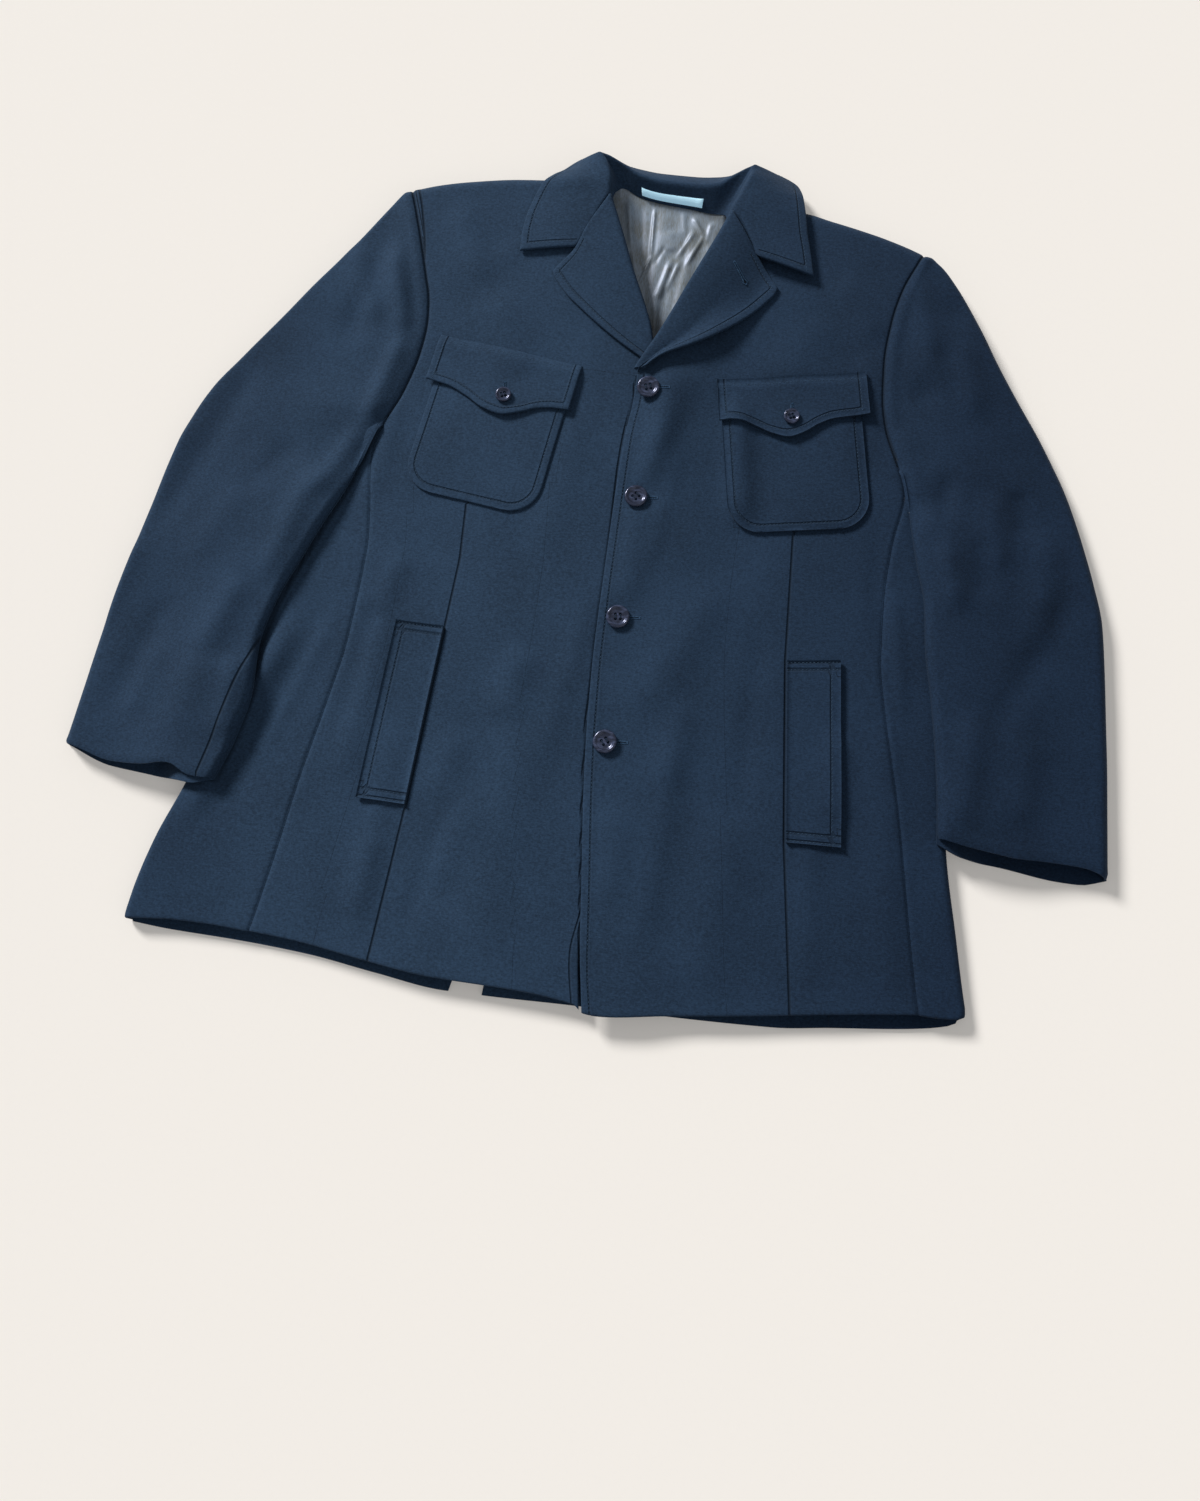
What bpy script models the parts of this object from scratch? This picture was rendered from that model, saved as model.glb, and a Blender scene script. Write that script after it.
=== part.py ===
"""Blazer laid flat on its back: closed, stitched wool cloth pieces, open neck, hem and cuffs.

Frame: +X is the wearer's left, +Y towards the collar, +Z up from the surface.
All tables and named sizes are in millimetres. Shapes become metres in add_piece.
"""
import math
import bpy
import bmesh
import numpy as np
from mathutils.bvhtree import BVHTree

MM = 0.001

# Cloth and seams
CLOTH = 2.4            # wool, canvas and lining together, sewn as one panel
LIGHT_CLOTH = 1.6      # patch pockets, flaps and welts
COLLAR_CLOTH = 2.0
LAPEL_CLOTH = 2.2
LAID = 0.5             # under a piece that lies on a curved panel
LINING = 1.0
SEAM = 0.3             # space between neighbouring pieces
HALF_SEAM = 0.15
FLOOR_LAYER = CLOTH + SEAM   # height where the upper sheets land on the lower ones

# Rounded edges
SHOULDER_ROUND = 15.0
SLEEVE_ROUND = 9.0
SLEEVE_INNER_ROUND = 7.0
OVERLAP_LIFT = 3.5     # left front lies on the right one along the buttons
OVERLAP_END = 34.0
OVERLAP_FADE = 60.0

# Buttons
BUTTON_D = 20.6
BUTTON_T = 3.6
FLAP_BUTTON_D = 14.5
FLAP_BUTTON_T = 3.0
HOLE_D = 1.9
HOLE_PITCH = 4.2

WOOL = (0.022, 0.036, 0.062, 1.0)
SATIN = (0.16, 0.13, 0.14, 1.0)
WOVEN = (0.30, 0.42, 0.60, 1.0)
HORN = (0.008, 0.009, 0.012, 1.0)


def smooth(stations, values):
    """Monotone cubic through the rows of a table."""
    xs = np.array(stations, float)
    ys = np.array(values, float)
    step = np.diff(xs)
    slope = np.diff(ys) / step
    tangent = np.zeros_like(ys)
    tangent[0] = slope[0]
    tangent[-1] = slope[-1]
    for k in range(1, len(xs) - 1):
        a, b = slope[k - 1], slope[k]
        if a * b > 0:
            tangent[k] = 2.0 * a * b / (a + b)

    def value(q):
        q = np.clip(np.asarray(q, float), xs[0], xs[-1])
        i = np.clip(np.searchsorted(xs, q) - 1, 0, len(xs) - 2)
        h = step[i]
        t = (q - xs[i]) / h
        p = ys[i] * (1 + 2 * t) * (1 - t) ** 2 + tangent[i] * h * t * (1 - t) ** 2
        return p + ys[i + 1] * t * t * (3 - 2 * t) + tangent[i + 1] * h * t * t * (t - 1)
    return value


def column(table, k):
    return [row[k] for row in table]


def curve(table, a=0, b=1):
    return smooth(column(table, a), column(table, b))


def ease(t):
    t = np.clip(t, 0.0, 1.0)
    return t * t * (3 - 2 * t)


# ---------------------------------------------------------------- outlines
# Height of the upper sheet's outer face along the body: (y, z)
LEVEL = [(-405, 11.5), (-300, 13.5), (-150, 15.0), (0, 16.5), (120, 18.5), (220, 21.0), (300, 22.5),
         (365, 22.5)]

# Silhouette of the shoulders and back neck: (x, y)
TOP_LINE = [(-262, 336), (-250, 340.5), (-225, 348.5), (-193, 355), (-149, 361), (-100, 363.5), (-75, 364.5),
            (75, 349), (100, 350), (127, 348), (151, 342), (179, 335), (205, 327.5), (239, 314), (250, 307)]

# Hem of the upper layer and of the back: (x, y)
HEM_FRONT = [(-384, -366), (-342, -361), (-312, -362), (-273, -366), (-235, -369), (-172, -378),
             (-120, -384),
             (-49, -386), (0, -391), (9, -397), (18, -398), (76, -391), (140, -383), (205, -374),
             (271, -366), (312, -362)]
HEM_BACK = [(-384, -369), (-345, -372), (-285, -374), (-225, -378), (-166, -386), (-106, -393), (-74, -393),
            (-10, -392), (87, -391), (162, -389), (205, -384), (268, -377), (299, -371), (312, -364)]

# Front edge then roll line of each front: (y before levelling, x)
RIGHT_EDGE = [(-380, 2), (-345, -3), (-318, 1), (-280, 8), (-220, 16), (-140, 20), (0, 20), (130, 20),
              (160, 13),
              (180, 4), (195, -3.5), (209, -7.5), (228, -14.8), (248, -23.8), (266, -32.3), (284, -40.2),
              (300, -48), (320, -58.5), (332, -66), (340, -78)]
LEFT_EDGE = [(-380, 8), (-345, 1), (-293, -5), (-203, -14), (-158, -17), (-88, -19), (21, -18), (97, -16),
             (135, -12), (163, -11), (178, -4), (193, 4), (220, 16), (241, 25.8), (262, 37.2), (285, 50),
             (298, 57), (310, 64), (320, 80)]

# Side seam then armhole of each front: (y before levelling, x)
RIGHT_SIDE = [(-380, -275), (-285, -262), (-228, -254), (-171, -244), (-109, -235), (-27, -232),
              (5, -235), (66, -243),
              (87, -239), (122, -225), (169, -214), (193, -212), (218, -214), (249, -222), (279, -231),
              (313, -242), (340, -251)]
LEFT_SIDE = [(-380, 274), (-276, 259), (-206, 248), (-127, 232), (-79, 225), (-29, 224), (23, 228),
             (71, 236),
             (90, 231), (135, 215), (162, 211), (197, 210), (236, 214), (266, 221), (300, 234), (320, 241)]

# Fold at each side: (y, x of the fold, x of the back seam under it)
RIGHT_FOLD = [(-370, -383, -345), (-344, -380, -340), (-300, -371, -330), (-245, -353, -312),
              (-160, -333, -290),
              (-80, -313, -268), (0, -296, -252), (70, -280, -240)]
LEFT_FOLD = [(-370, 311, 205), (-304, 301, 203), (-239, 290, 202), (-160, 282, 201), (-80, 275, 200),
             (0, 268, 200), (74, 262, 200)]
SIDE_TOP_RIGHT = 64.0
SIDE_TOP_LEFT = 69.0

# Centre back seam, open as a vent below its top: (y, x right piece, x left piece)
CENTRE_BACK = [(-395, -104, -76), (-300, -83, -69), (-215, -67, -62), (-170, -57, -57), (345, 0, 0)]

# Folds in the upper layer of the body: (x0, y0, x1, y1, width, height)
BODY_FOLDS = [(-266, -70, -318, -262, 15, -2.6), (-205, -85, -222, -235, 12, 1.6),
              (-100, -235, -132, -312, 17, 1.8),
              (42, 176, 12, 80, 13, 2.0), (88, -25, 22, -150, 20, 2.2), (-60, -150, -95, -370, 26, 2.2),
              (110, -230, 96, -372, 24, 2.4), (230, -130, 250, -350, 14, 1.6),
              (-150, 230, -120, 150, 24, 1.8),
              (150, 235, 120, 165, 22, 1.8)]

level = curve(LEVEL)
top_line = curve(TOP_LINE)
hem_front = curve(HEM_FRONT)
hem_back = curve(HEM_BACK)
right_fold = curve(RIGHT_FOLD)
right_under = curve(RIGHT_FOLD, 0, 2)
left_fold = curve(LEFT_FOLD)
left_under = curve(LEFT_FOLD, 0, 2)


def fold_relief(x, y, folds):
    """Soft ridges (height above 0) and troughs (below 0) along short lines."""
    total = np.zeros(np.broadcast(x, y).shape)
    for x0, y0, x1, y1, width, height in folds:
        dx, dy = x1 - x0, y1 - y0
        length = math.hypot(dx, dy)
        along = ((x - x0) * dx + (y - y0) * dy) / length ** 2
        across = ((x - x0) * dy - (y - y0) * dx) / length
        fade = ease(along / 0.3 + 0.3) * ease((1 - along) / 0.3 + 0.3)
        total = total + height * np.exp(-(across / width) ** 2) * fade
    return total


def edge_round(distance, radius):
    d = np.clip(distance / radius, 0.0, 1.0)
    return np.sqrt(np.clip(1 - (1 - d) ** 2, 0.0, 1.0))


def body_height(x, y):
    """Outer face of the upper layer, before the shoulder edge turns down."""
    crown = 2.5 * (1 - np.clip(np.abs(x) / 260.0, 0, 1) ** 2)
    return level(y) + crown + fold_relief(x, y, BODY_FOLDS)


def top_height(x, y):
    full = body_height(x, y)
    turn = edge_round(top_line(x) - y, SHOULDER_ROUND)
    return FLOOR_LAYER + (full - FLOOR_LAYER) * turn


def lap_height(x, y):
    """Outer face of the left front, lifted where it lies on the right one and its lapel."""
    lift = OVERLAP_LIFT * ease((OVERLAP_END + OVERLAP_FADE - x) / OVERLAP_FADE)
    lift = lift + 4.2 * np.exp(-((x - 3.0) ** 2 + (y - 188.0) ** 2) / 30.0 ** 2)
    fade = edge_round(top_line(x) - y, SHOULDER_ROUND)
    return top_height(x, y) + lift * fade


# ---------------------------------------------------------------- meshes
def material(name, colour, roughness):
    mat = bpy.data.materials.new(name)
    mat.use_nodes = True
    shader = mat.node_tree.nodes["Principled BSDF"]
    shader.inputs["Base Color"].default_value = colour
    shader.inputs["Roughness"].default_value = roughness
    return mat


def add_piece(name, verts, faces, colour, roughness=0.9, origin=None):
    pts = np.array(verts, float) * MM
    if origin is None:
        low, high = pts.min(axis=0), pts.max(axis=0)
        origin = ((low[0] + high[0]) / 2, (low[1] + high[1]) / 2, low[2])
    else:
        origin = tuple(v * MM for v in origin)
    mesh = bpy.data.meshes.new(name)
    mesh.from_pydata([tuple(p - np.array(origin)) for p in pts], [], faces)
    work = bmesh.new()
    work.from_mesh(mesh)
    bmesh.ops.recalc_face_normals(work, faces=work.faces)
    work.to_mesh(mesh)
    work.free()
    obj = bpy.data.objects.new(name, mesh)
    obj.location = origin
    bpy.context.scene.collection.objects.link(obj)
    mesh.materials.append(material(name + "_mat", colour, roughness))
    return obj


def normals(grid):
    across = np.gradient(grid, axis=1)
    along = np.gradient(grid, axis=0)
    n = np.cross(across, along)
    return n / np.maximum(np.linalg.norm(n, axis=2, keepdims=True), 1e-9)


def square_ends(grid, n, ends):
    """Normals along an end column turned upright, so neighbours meet on plumb faces.

    ends holds (column, number of rows from the first one).
    """
    for c, rows in ends:
        edge = np.gradient(grid[:, c, :2], axis=0)
        out = np.stack([edge[:, 1], -edge[:, 0], np.zeros(len(edge))], axis=1)
        out = out / np.linalg.norm(out, axis=1, keepdims=True)
        turned = n[:, c] - out * np.sum(n[:, c] * out, axis=1, keepdims=True)
        turned = turned / np.linalg.norm(turned, axis=1, keepdims=True)
        n[:rows, c] = turned[:rows]
    return n


def sheet(name, grid, thickness, colour, side=1, roughness=0.9, direction=None, square=(), landing=()):
    """Closed wall from a grid of outer points (rows, columns, xyz).

    landing names the edges, "row" or "column" and its number, whose end face is level.
    """
    grid = np.asarray(grid, float)
    rows, cols = grid.shape[:2]
    if direction is None:
        inner = grid - side * thickness * square_ends(grid, normals(grid), square)
        for kind, k in landing:
            if kind == "row":
                inner[k, :, 2] = grid[k, :, 2]
            else:
                inner[:, k, 2] = np.maximum(inner[:, k, 2], grid[:, k, 2])
    else:
        inner = grid + np.array(direction, float) * thickness
    verts = np.concatenate([grid.reshape(-1, 3), inner.reshape(-1, 3)])
    base = rows * cols
    faces = []
    for r in range(rows - 1):
        for c in range(cols - 1):
            a = r * cols + c
            b, d, e = a + 1, a + cols, a + cols + 1
            faces.append((a, b, e))
            faces.append((a, e, d))
            faces.append((base + a, base + e, base + b))
            faces.append((base + a, base + d, base + e))
    ring = [c for c in range(cols)]
    ring += [r * cols + cols - 1 for r in range(1, rows)]
    ring += [(rows - 1) * cols + c for c in range(cols - 2, -1, -1)]
    ring += [r * cols for r in range(rows - 2, 0, -1)]
    for k in range(len(ring)):
        a, b = ring[k], ring[(k + 1) % len(ring)]
        faces.append((a, b + base, b))
        faces.append((a, a + base, b + base))
    return add_piece(name, verts, faces, colour, roughness)


def body_rows(side_top, high, turn):
    """Row positions before levelling: hem to armpit, armhole, then the turn of the shoulder."""
    low = list(np.linspace(FRONT_LOW, side_top, SIDE_ROWS))
    arm = list(np.linspace(side_top, high - turn, ARM_ROWS))[1:]
    arc = [high - turn + turn * math.sin(a) for a in np.radians([16, 36, 56, 75, 90])]
    return low + arm + arc


def levelled(x, y, hem, low, high):
    """Moves straight rows onto the hem and shoulder lines."""
    near_hem = np.clip(1 - (y - low) / 120.0, 0, 1) ** 2
    near_top = np.clip(1 - (high - y) / 100.0, 0, 1) ** 2
    return y + (hem(x) - low) * near_hem + (top_line(x) - high) * near_top


FRONT_LOW = -380.0
RIGHT_TOP = 340.0
LEFT_TOP = 320.0
SIDE_ROWS = 13
ARM_ROWS = 9
FRONT_COLS = 14


def front_grid(edge, side, side_top, high, cols, sign, height):
    grid = []
    inner, outer = curve(edge), curve(side)
    for y in body_rows(side_top, high, SHOULDER_ROUND):
        xa = float(inner(y))
        xb = float(outer(y)) - sign * HALF_SEAM
        xs = xa + (xb - xa) * np.linspace(0, 1, cols)
        ys = levelled(xs, np.full(cols, y), hem_front, FRONT_LOW, high)
        grid.append(np.stack([xs, ys, height(xs, ys)], axis=1))
    return np.array(grid)


# ---------------------------------------------------------------- body panels
def build_fronts():
    right = front_grid(RIGHT_EDGE, RIGHT_SIDE, SIDE_TOP_RIGHT, RIGHT_TOP, FRONT_COLS, -1, top_height)
    left = front_grid(LEFT_EDGE, LEFT_SIDE, SIDE_TOP_LEFT, LEFT_TOP, FRONT_COLS, 1, lap_height)
    sheet("front_right", right, CLOTH, WOOL, side=-1, square=((-1, 99), (0, 99)), landing=(("row", -1),))
    sheet("front_left", left, CLOTH, WOOL, side=1, square=((-1, 99), (0, 99)), landing=(("row", -1),))
    return right, left


def armhole_points(grid):
    """Outer ends of a front's rows from the start of the shoulder turn to above the armpit."""
    first = SIDE_ROWS + 1
    last = SIDE_ROWS + ARM_ROWS
    return [tuple(grid[r][-1][:2]) for r in range(last, first - 1, -1) if r < len(grid) - 1]


def back_top(x):
    """Back neck dips below the shoulder line between the collar ends."""
    dip = 8.0 * (1 - np.clip(np.abs(x) / 70.0, 0, 1) ** 2)
    return top_line(x) - dip


# Back armhole above the side panels: (y before levelling, x)
BACK_ARM_RIGHT = [(64, -241), (88, -245), (122, -233), (169, -221), (218, -219), (279, -234),
                  (325, -242), (340, -244)]
BACK_ARM_LEFT = [(69, 200), (92, 234), (135, 223), (197, 217), (260, 225), (280, 229), (300, 232),
                 (320, 234), (340, 235)]
BACK_LOW = -380.0
BACK_HIGH = 340.0
BACK_COLS = 8


def back_shift(x, y):
    near_hem = np.clip(1 - (y - BACK_LOW) / 120.0, 0, 1) ** 2
    near_top = np.clip(1 - (BACK_HIGH - y) / 100.0, 0, 1) ** 2
    return y + (hem_back(x) - BACK_LOW) * near_hem + (back_top(x) - BACK_HIGH) * near_top


def back_arm_line(sign):
    """Back armhole after levelling, as x over y."""
    arm = curve(BACK_ARM_RIGHT if sign < 0 else BACK_ARM_LEFT)
    nominal = np.linspace(76, BACK_HIGH, 60)
    x = arm(nominal)
    y = back_shift(x, nominal)
    return lambda q: float(np.interp(q, y, x))


def build_back():
    stations = column(CENTRE_BACK, 0)
    pieces = (("back_right", -1, right_under, BACK_ARM_RIGHT, SIDE_TOP_RIGHT, 1),
              ("back_left", 1, left_under, BACK_ARM_LEFT, SIDE_TOP_LEFT, 2))
    for name, sign, under, arm, side_top, col in pieces:
        arm_curve = curve(arm)
        low_rows = list(np.linspace(BACK_LOW, side_top, SIDE_ROWS))
        rows = low_rows + list(np.linspace(side_top + 14, BACK_HIGH, 10))
        centre = column(CENTRE_BACK, col)
        grid = []
        for y in rows:
            xa = 0.0
            for _ in range(6):
                xa = float(np.interp(float(back_shift(xa, y)), stations, centre)) + sign * HALF_SEAM
            outer = under if y <= low_rows[-1] else arm_curve
            xb = float(outer(y)) - sign * HALF_SEAM
            xs = xa + (xb - xa) * np.linspace(0, 1, BACK_COLS)
            grid.append(np.stack([xs, back_shift(xs, y), np.zeros(BACK_COLS)], axis=1))
        sheet(name, np.array(grid), CLOTH, WOOL, direction=(0, 0, 1))


# Where the top edge of each side panel meets the front at the armhole
RIGHT_MEET = 88.0
LEFT_MEET = 87.0


def side_grid(sign, seam_x, fold_x, under_x, low_top, high, meet, rows, arc_steps, flat_steps):
    """Side panel: seam on top, round the fold, and a strip under the garment."""
    grid = []
    next_y = low_top + (high - SHOULDER_ROUND - low_top) / (ARM_ROWS - 1)
    edge = [float(seam_x(low_top)), float(seam_x(next_y))]
    for y in list(np.linspace(BACK_LOW, low_top, rows)) + [low_top + 0.8]:
        xs_top = float(seam_x(min(y, low_top))) + sign * HALF_SEAM
        rise = meet - y if y > low_top else 0.0
        shift = float(np.interp(meet, [low_top, next_y], edge)) - edge[0] if y > low_top else 0.0
        xf = float(fold_x(y))
        xu = float(under_x(min(y, low_top))) + sign * (HALF_SEAM + 2.5 * max(0.0, y - low_top))
        height = float(level(y))
        r = height / 2
        pts = []
        for t in np.linspace(0, 1, flat_steps):
            x = xs_top + (xf - sign * r - xs_top) * t + shift * (1.0 - t) ** 1.5
            pts.append((x, None, 1.0 - t))
        for a in np.linspace(0, math.pi, arc_steps)[1:]:
            pts.append((xf - sign * r + sign * r * math.sin(a), r + r * math.cos(a), 0.0))
        for t in np.linspace(0, 1, flat_steps)[1:]:
            x = xf - sign * r + (xu - xf + sign * r) * t
            pts.append((x, 0.0, 0.0))
        row = []
        for k, (x, z, w) in enumerate(pts):
            near_hem = float(np.clip(1 - (y + 380) / 120.0, 0, 1) ** 2)
            down = (k / (len(pts) - 1)) if z is None or z > 0 else 1.0
            hem = hem_front(x) * (1 - down) + hem_back(x) * down
            yy = y + (float(hem) + 380) * near_hem + rise * w ** 1.5
            if z is None:
                z = height + (float(body_height(x, yy)) - height) * w
            row.append((x, yy, z))
        grid.append(row)
    return np.array(grid)


def build_sides():
    right = side_grid(-1, curve(RIGHT_SIDE), right_fold, right_under, SIDE_TOP_RIGHT, RIGHT_TOP, RIGHT_MEET,
                      SIDE_ROWS, 7, 5)
    left = side_grid(1, curve(LEFT_SIDE), left_fold, left_under, SIDE_TOP_LEFT, LEFT_TOP, LEFT_MEET,
                     SIDE_ROWS, 7, 5)
    sheet("side_right", right, CLOTH, WOOL, side=-1, square=((0, 99),))
    sheet("side_left", left, CLOTH, WOOL, side=1, square=((0, 99),))


# ---------------------------------------------------------------- sleeves
# Sections from the armhole to the cuff:
# (outer x, outer y, inner x, inner y, thickness outside, thickness inside, 1 where the inner edge is free)
SLEEVE_RIGHT = [(-262.5, 329.5, -248.5, 334.5, 19, 19, 0), (-273, 314, -241.5, 312, 20, 22, 0),
                (-298, 274, -230, 276, 20, 22, 0),
                (-330, 229, -219, 237, 20, 22, 0), (-356, 190, -213, 200, 19, 21, 0),
                (-385, 148, -215, 163, 18, 21, 0),
                (-406, 117, -223, 126, 17, 22, 0), (-421, 82, -242, 86, 16, 9.5, 1),
                (-433, 35, -258, 31, 16, 12.5, 1),
                (-440, -6, -274, -7, 16, 13.5, 1), (-447, -48, -289, -46, 16, 13, 1),
                (-454, -92, -303, -84, 16, 13, 1),
                (-459, -135, -310, -124, 16, 13, 1), (-463, -178, -307, -165, 16, 13, 1),
                (-466, -209, -315, -208, 16, 13, 1),
                (-468, -228, -327, -246, 16, 13, 1)]
SLEEVE_LEFT = [(253.5, 305, 237.7, 308.5, 18, 18, 0), (260.5, 299, 232, 292, 20, 22, 0),
               (280, 271, 224, 266, 20, 22, 0),
               (298, 238, 216, 238, 20, 21, 0), (314, 206, 211.5, 206, 19, 20, 0),
               (334, 170, 211.5, 170, 18, 20, 0),
               (352, 139, 215, 139, 17, 22, 0), (368, 108, 226, 104, 16, 19, 0),
               (375, 93, 232.5, 88, 16, 9.5, 1), (381, 78, 237, 72, 16, 10.5, 1),
               (392, 46, 242, 44, 16, 13.5, 1), (403, 8, 250, 6, 16, 13, 1),
               (411, -27, 258, -27, 16, 13, 1),
               (414, -68, 261, -66, 16, 13, 1), (416, -112, 268, -108, 16, 13, 1),
               (418, -157, 274, -152, 16, 13, 1),
               (419, -200, 278, -193, 16, 13, 1), (420, -242, 280, -226, 16, 13, 1)]
# Cuff line of the upper and of the lower sheet: (distance from the outer edge over the width, y shift)
CUFF_TOP_RIGHT = [(0, 0), (0.12, -2), (0.3, -6), (0.52, -3), (0.72, 4), (0.86, -2), (1, 0)]
CUFF_LOW_RIGHT = [(0, 0), (0.3, -9), (0.6, -8), (0.85, -8), (1, 0)]
CUFF_TOP_LEFT = [(0, 0), (0.15, 4), (0.35, 2), (0.6, -2), (0.8, -2), (1, 0)]
CUFF_LOW_LEFT = [(0, 0), (0.15, -8), (0.35, -10), (0.6, -9), (0.85, -10), (1, -4)]

# Folds on the upper face of each sleeve: (x0, y0, x1, y1, width, height)
SLEEVE_FOLDS_RIGHT = [(-262, 300, -283, 172, 13, -2.5), (-366, 143, -428, -31, 15, -2.6),
                      (-312, 64, -359, 12, 13, -1.8),
                      (-396, -87, -434, -203, 15, -2.0), (-330, 60, -392, -60, 18, 2.2),
                      (-350, -90, -372, -220, 18, 1.8)]
SLEEVE_FOLDS_LEFT = [(270, 269, 281, 216, 11, -2.2), (262, 215, 242, 154, 12, -2.2),
                     (272, 95, 264, 10, 9, -2.6),
                     (331, 83, 342, 42, 10, -2.2), (303, 33, 306, -19, 10, -1.8),
                     (380, -7, 318, -140, 14, -2.6),
                     (340, -90, 330, -215, 18, 2.0)]
REST_RISE = 30.0
SLEEVE_ROWS = 10


def sleeve_sections(table, sign, armhole, count):
    """Sections at each armhole point of the front, then evenly down to the cuff."""
    down = [-row[3] for row in table]
    reader = [smooth(down, column(table, k)) for k in range(7)]
    closing = [row[3] for row in table if row[6] > 0]
    rows = []
    for x, y in armhole:
        if y > closing[0] + 14.0:
            row = [float(f(-y)) for f in reader]
            row[2], row[3], row[6] = x + sign * SEAM, y, 0.0
            rows.append(row)
    for y in np.linspace(closing[0], closing[-1], count):
        row = [float(f(-y)) for f in reader]
        row[6] = 1.0
        rows.append(row)
    return rows


def rest_height(x, y, sign):
    """Surface the sleeve lies on: the floor, then the side of the body."""
    if sign < 0:
        out = right_fold(y) - x
    else:
        out = x - left_fold(y)
    top = body_height(x, y) + 1.4
    rise = 1 - ease((out - 3.0) / REST_RISE)
    below = ease((112.0 - y) / 24.0)
    return top * rise * below


def sleeve_grids(table, sign, armhole, folds, cuff_top, cuff_low, count, across):
    tops, unders = [], []
    sections = sleeve_sections(table, sign, armhole, count)
    last = len(sections) - 1
    back_arm = back_arm_line(sign)
    for k, (xo, yo, xi, yi, h_out, h_in, c) in enumerate(sections):
        o = np.array([xo, yo])
        i = np.array([xi, yi])
        width = float(np.linalg.norm(i - o))
        cuff = float(np.clip((k - last + 3) / 3.0, 0, 1))
        turn = min(SLEEVE_ROUND, 0.75 * width) / width
        turn_in = min(SLEEVE_INNER_ROUND, 0.15 * width) / width

        def place(t, shift):
            p = o + (i - o) * t
            return float(p[0]), float(p[1]) + float(shift(t)) * cuff
        up = curve(cuff_top)
        low = curve(cuff_low)
        x1, y1 = place(1.0, up)
        free = float(rest_height(x1, y1, sign)) + h_in
        inner_top = float(top_height(x1, y1)) * (1 - c) + free * c
        ts = [turn * (1 - math.cos(a)) for a in np.radians([0, 20, 42, 66])]
        ts += list(np.linspace(turn, 1 - turn_in, across))
        ts += [1 - turn_in * (1 - math.cos(a)) for a in np.radians([62, 36, 0])]
        wide = float(ease((width - 16.0) / 40.0))
        ts = np.array(ts) * wide + np.linspace(0, 1, len(ts)) * (1 - wide)
        row = []
        for t in ts:
            x, y = place(t, up)
            blend = ease((t - 0.25) / 0.6)
            full = h_out * (1 - blend) + inner_top * blend
            full += 2.0 * math.sin(math.pi * min(t, 1.0)) * min(1.0, width / 120.0)
            full += float(fold_relief(x, y, folds)) * min(1.0, width / 120.0)
            rest = float(rest_height(x, y, sign))
            ground = rest + FLOOR_LAYER + float(ease(rest / 6.0))
            outer_turn = float(edge_round(t, turn))
            inner_turn = 1 - c * (1 - float(edge_round(1 - t, turn_in)))
            row.append((x, y, ground + (full - ground) * outer_turn * inner_turn))
        tops.append(row)
        t_arm = 0.9
        for _ in range(8):
            xa, ya = place(t_arm, low)
            goal = back_arm(ya) + sign * 2.0
            t_arm = float(np.clip(t_arm + (goal - xa) / (i[0] - o[0]), 0.3, 1.0))
        end = (1 - c) * t_arm + c
        row = []
        for t in np.linspace(0, 1, across + 3) ** 0.8 * end:
            x, y = place(t, low)
            row.append((x, y, float(rest_height(x, y, sign))))
        unders.append(row)
    return np.array(tops), np.array(unders)


def build_sleeves(right_arm, left_arm):
    top, under = sleeve_grids(SLEEVE_RIGHT, -1, right_arm, SLEEVE_FOLDS_RIGHT, CUFF_TOP_RIGHT,
                              CUFF_LOW_RIGHT, SLEEVE_ROWS, 6)
    seam_rows = len(top) - SLEEVE_ROWS
    sheet("sleeve_top_right", top, CLOTH, WOOL, side=-1, square=((-1, seam_rows),),
          landing=(("column", 0),))
    sheet("sleeve_under_right", under, CLOTH, WOOL, side=1)
    top, under = sleeve_grids(SLEEVE_LEFT, 1, left_arm, SLEEVE_FOLDS_LEFT, CUFF_TOP_LEFT, CUFF_LOW_LEFT,
                              SLEEVE_ROWS, 6)
    seam_rows = len(top) - SLEEVE_ROWS
    sheet("sleeve_top_left", top, CLOTH, WOOL, side=1, square=((-1, seam_rows),), landing=(("column", 0),))
    sheet("sleeve_under_left", under, CLOTH, WOOL, side=-1)


# ---------------------------------------------------------------- pieces laid on the panels
def surface_of(grid):
    """Height of a faceted sheet under a point, in millimetres."""
    grid = np.asarray(grid, float)
    rows, cols = grid.shape[:2]
    verts = [tuple(v) for v in grid.reshape(-1, 3)]
    tris = []
    for r in range(rows - 1):
        for c in range(cols - 1):
            a = r * cols + c
            tris.append((a, a + 1, a + cols + 1))
            tris.append((a, a + cols + 1, a + cols))
    tree = BVHTree.FromPolygons(verts, tris)

    def height(x, y, reach=0.0):
        best = -1.0
        for dx, dy in ((0, 0), (reach, 0), (-reach, 0), (0, reach), (0, -reach)):
            hit = tree.ray_cast((x + dx, y + dy, 300.0), (0, 0, -1))
            if hit[0] is not None:
                best = max(best, hit[0].z)
        return best
    return height


# Lapels: (y on the roll line, outer edge x, outer edge y, roll radius)
LAPEL_RIGHT = [(180, -9, 177.5, 2.75), (200, -32, 192, 2.9), (222, -52, 206.5, 3.2),
               (246, -70, 221, 3.6), (270, -85, 234, 4.0),
               (294, -95, 246, 4.3), (316, -100, 253, 4.5), (337, -101.5, 258, 4.6)]
LAPEL_LEFT = [(165, -3.5, 165.5, 2.75), (178, 10, 176.5, 2.8), (198, 35, 189.4, 2.9),
              (218, 55, 201.5, 3.2), (240, 73, 216, 3.6), (262, 88, 230.5, 4.0),
              (286, 98, 242, 4.3), (308, 105, 250.5, 4.5), (325, 107.8, 258, 4.6)]
NOTCH_DENT = 4.0
ROLL_SEAM = 0.9


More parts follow.
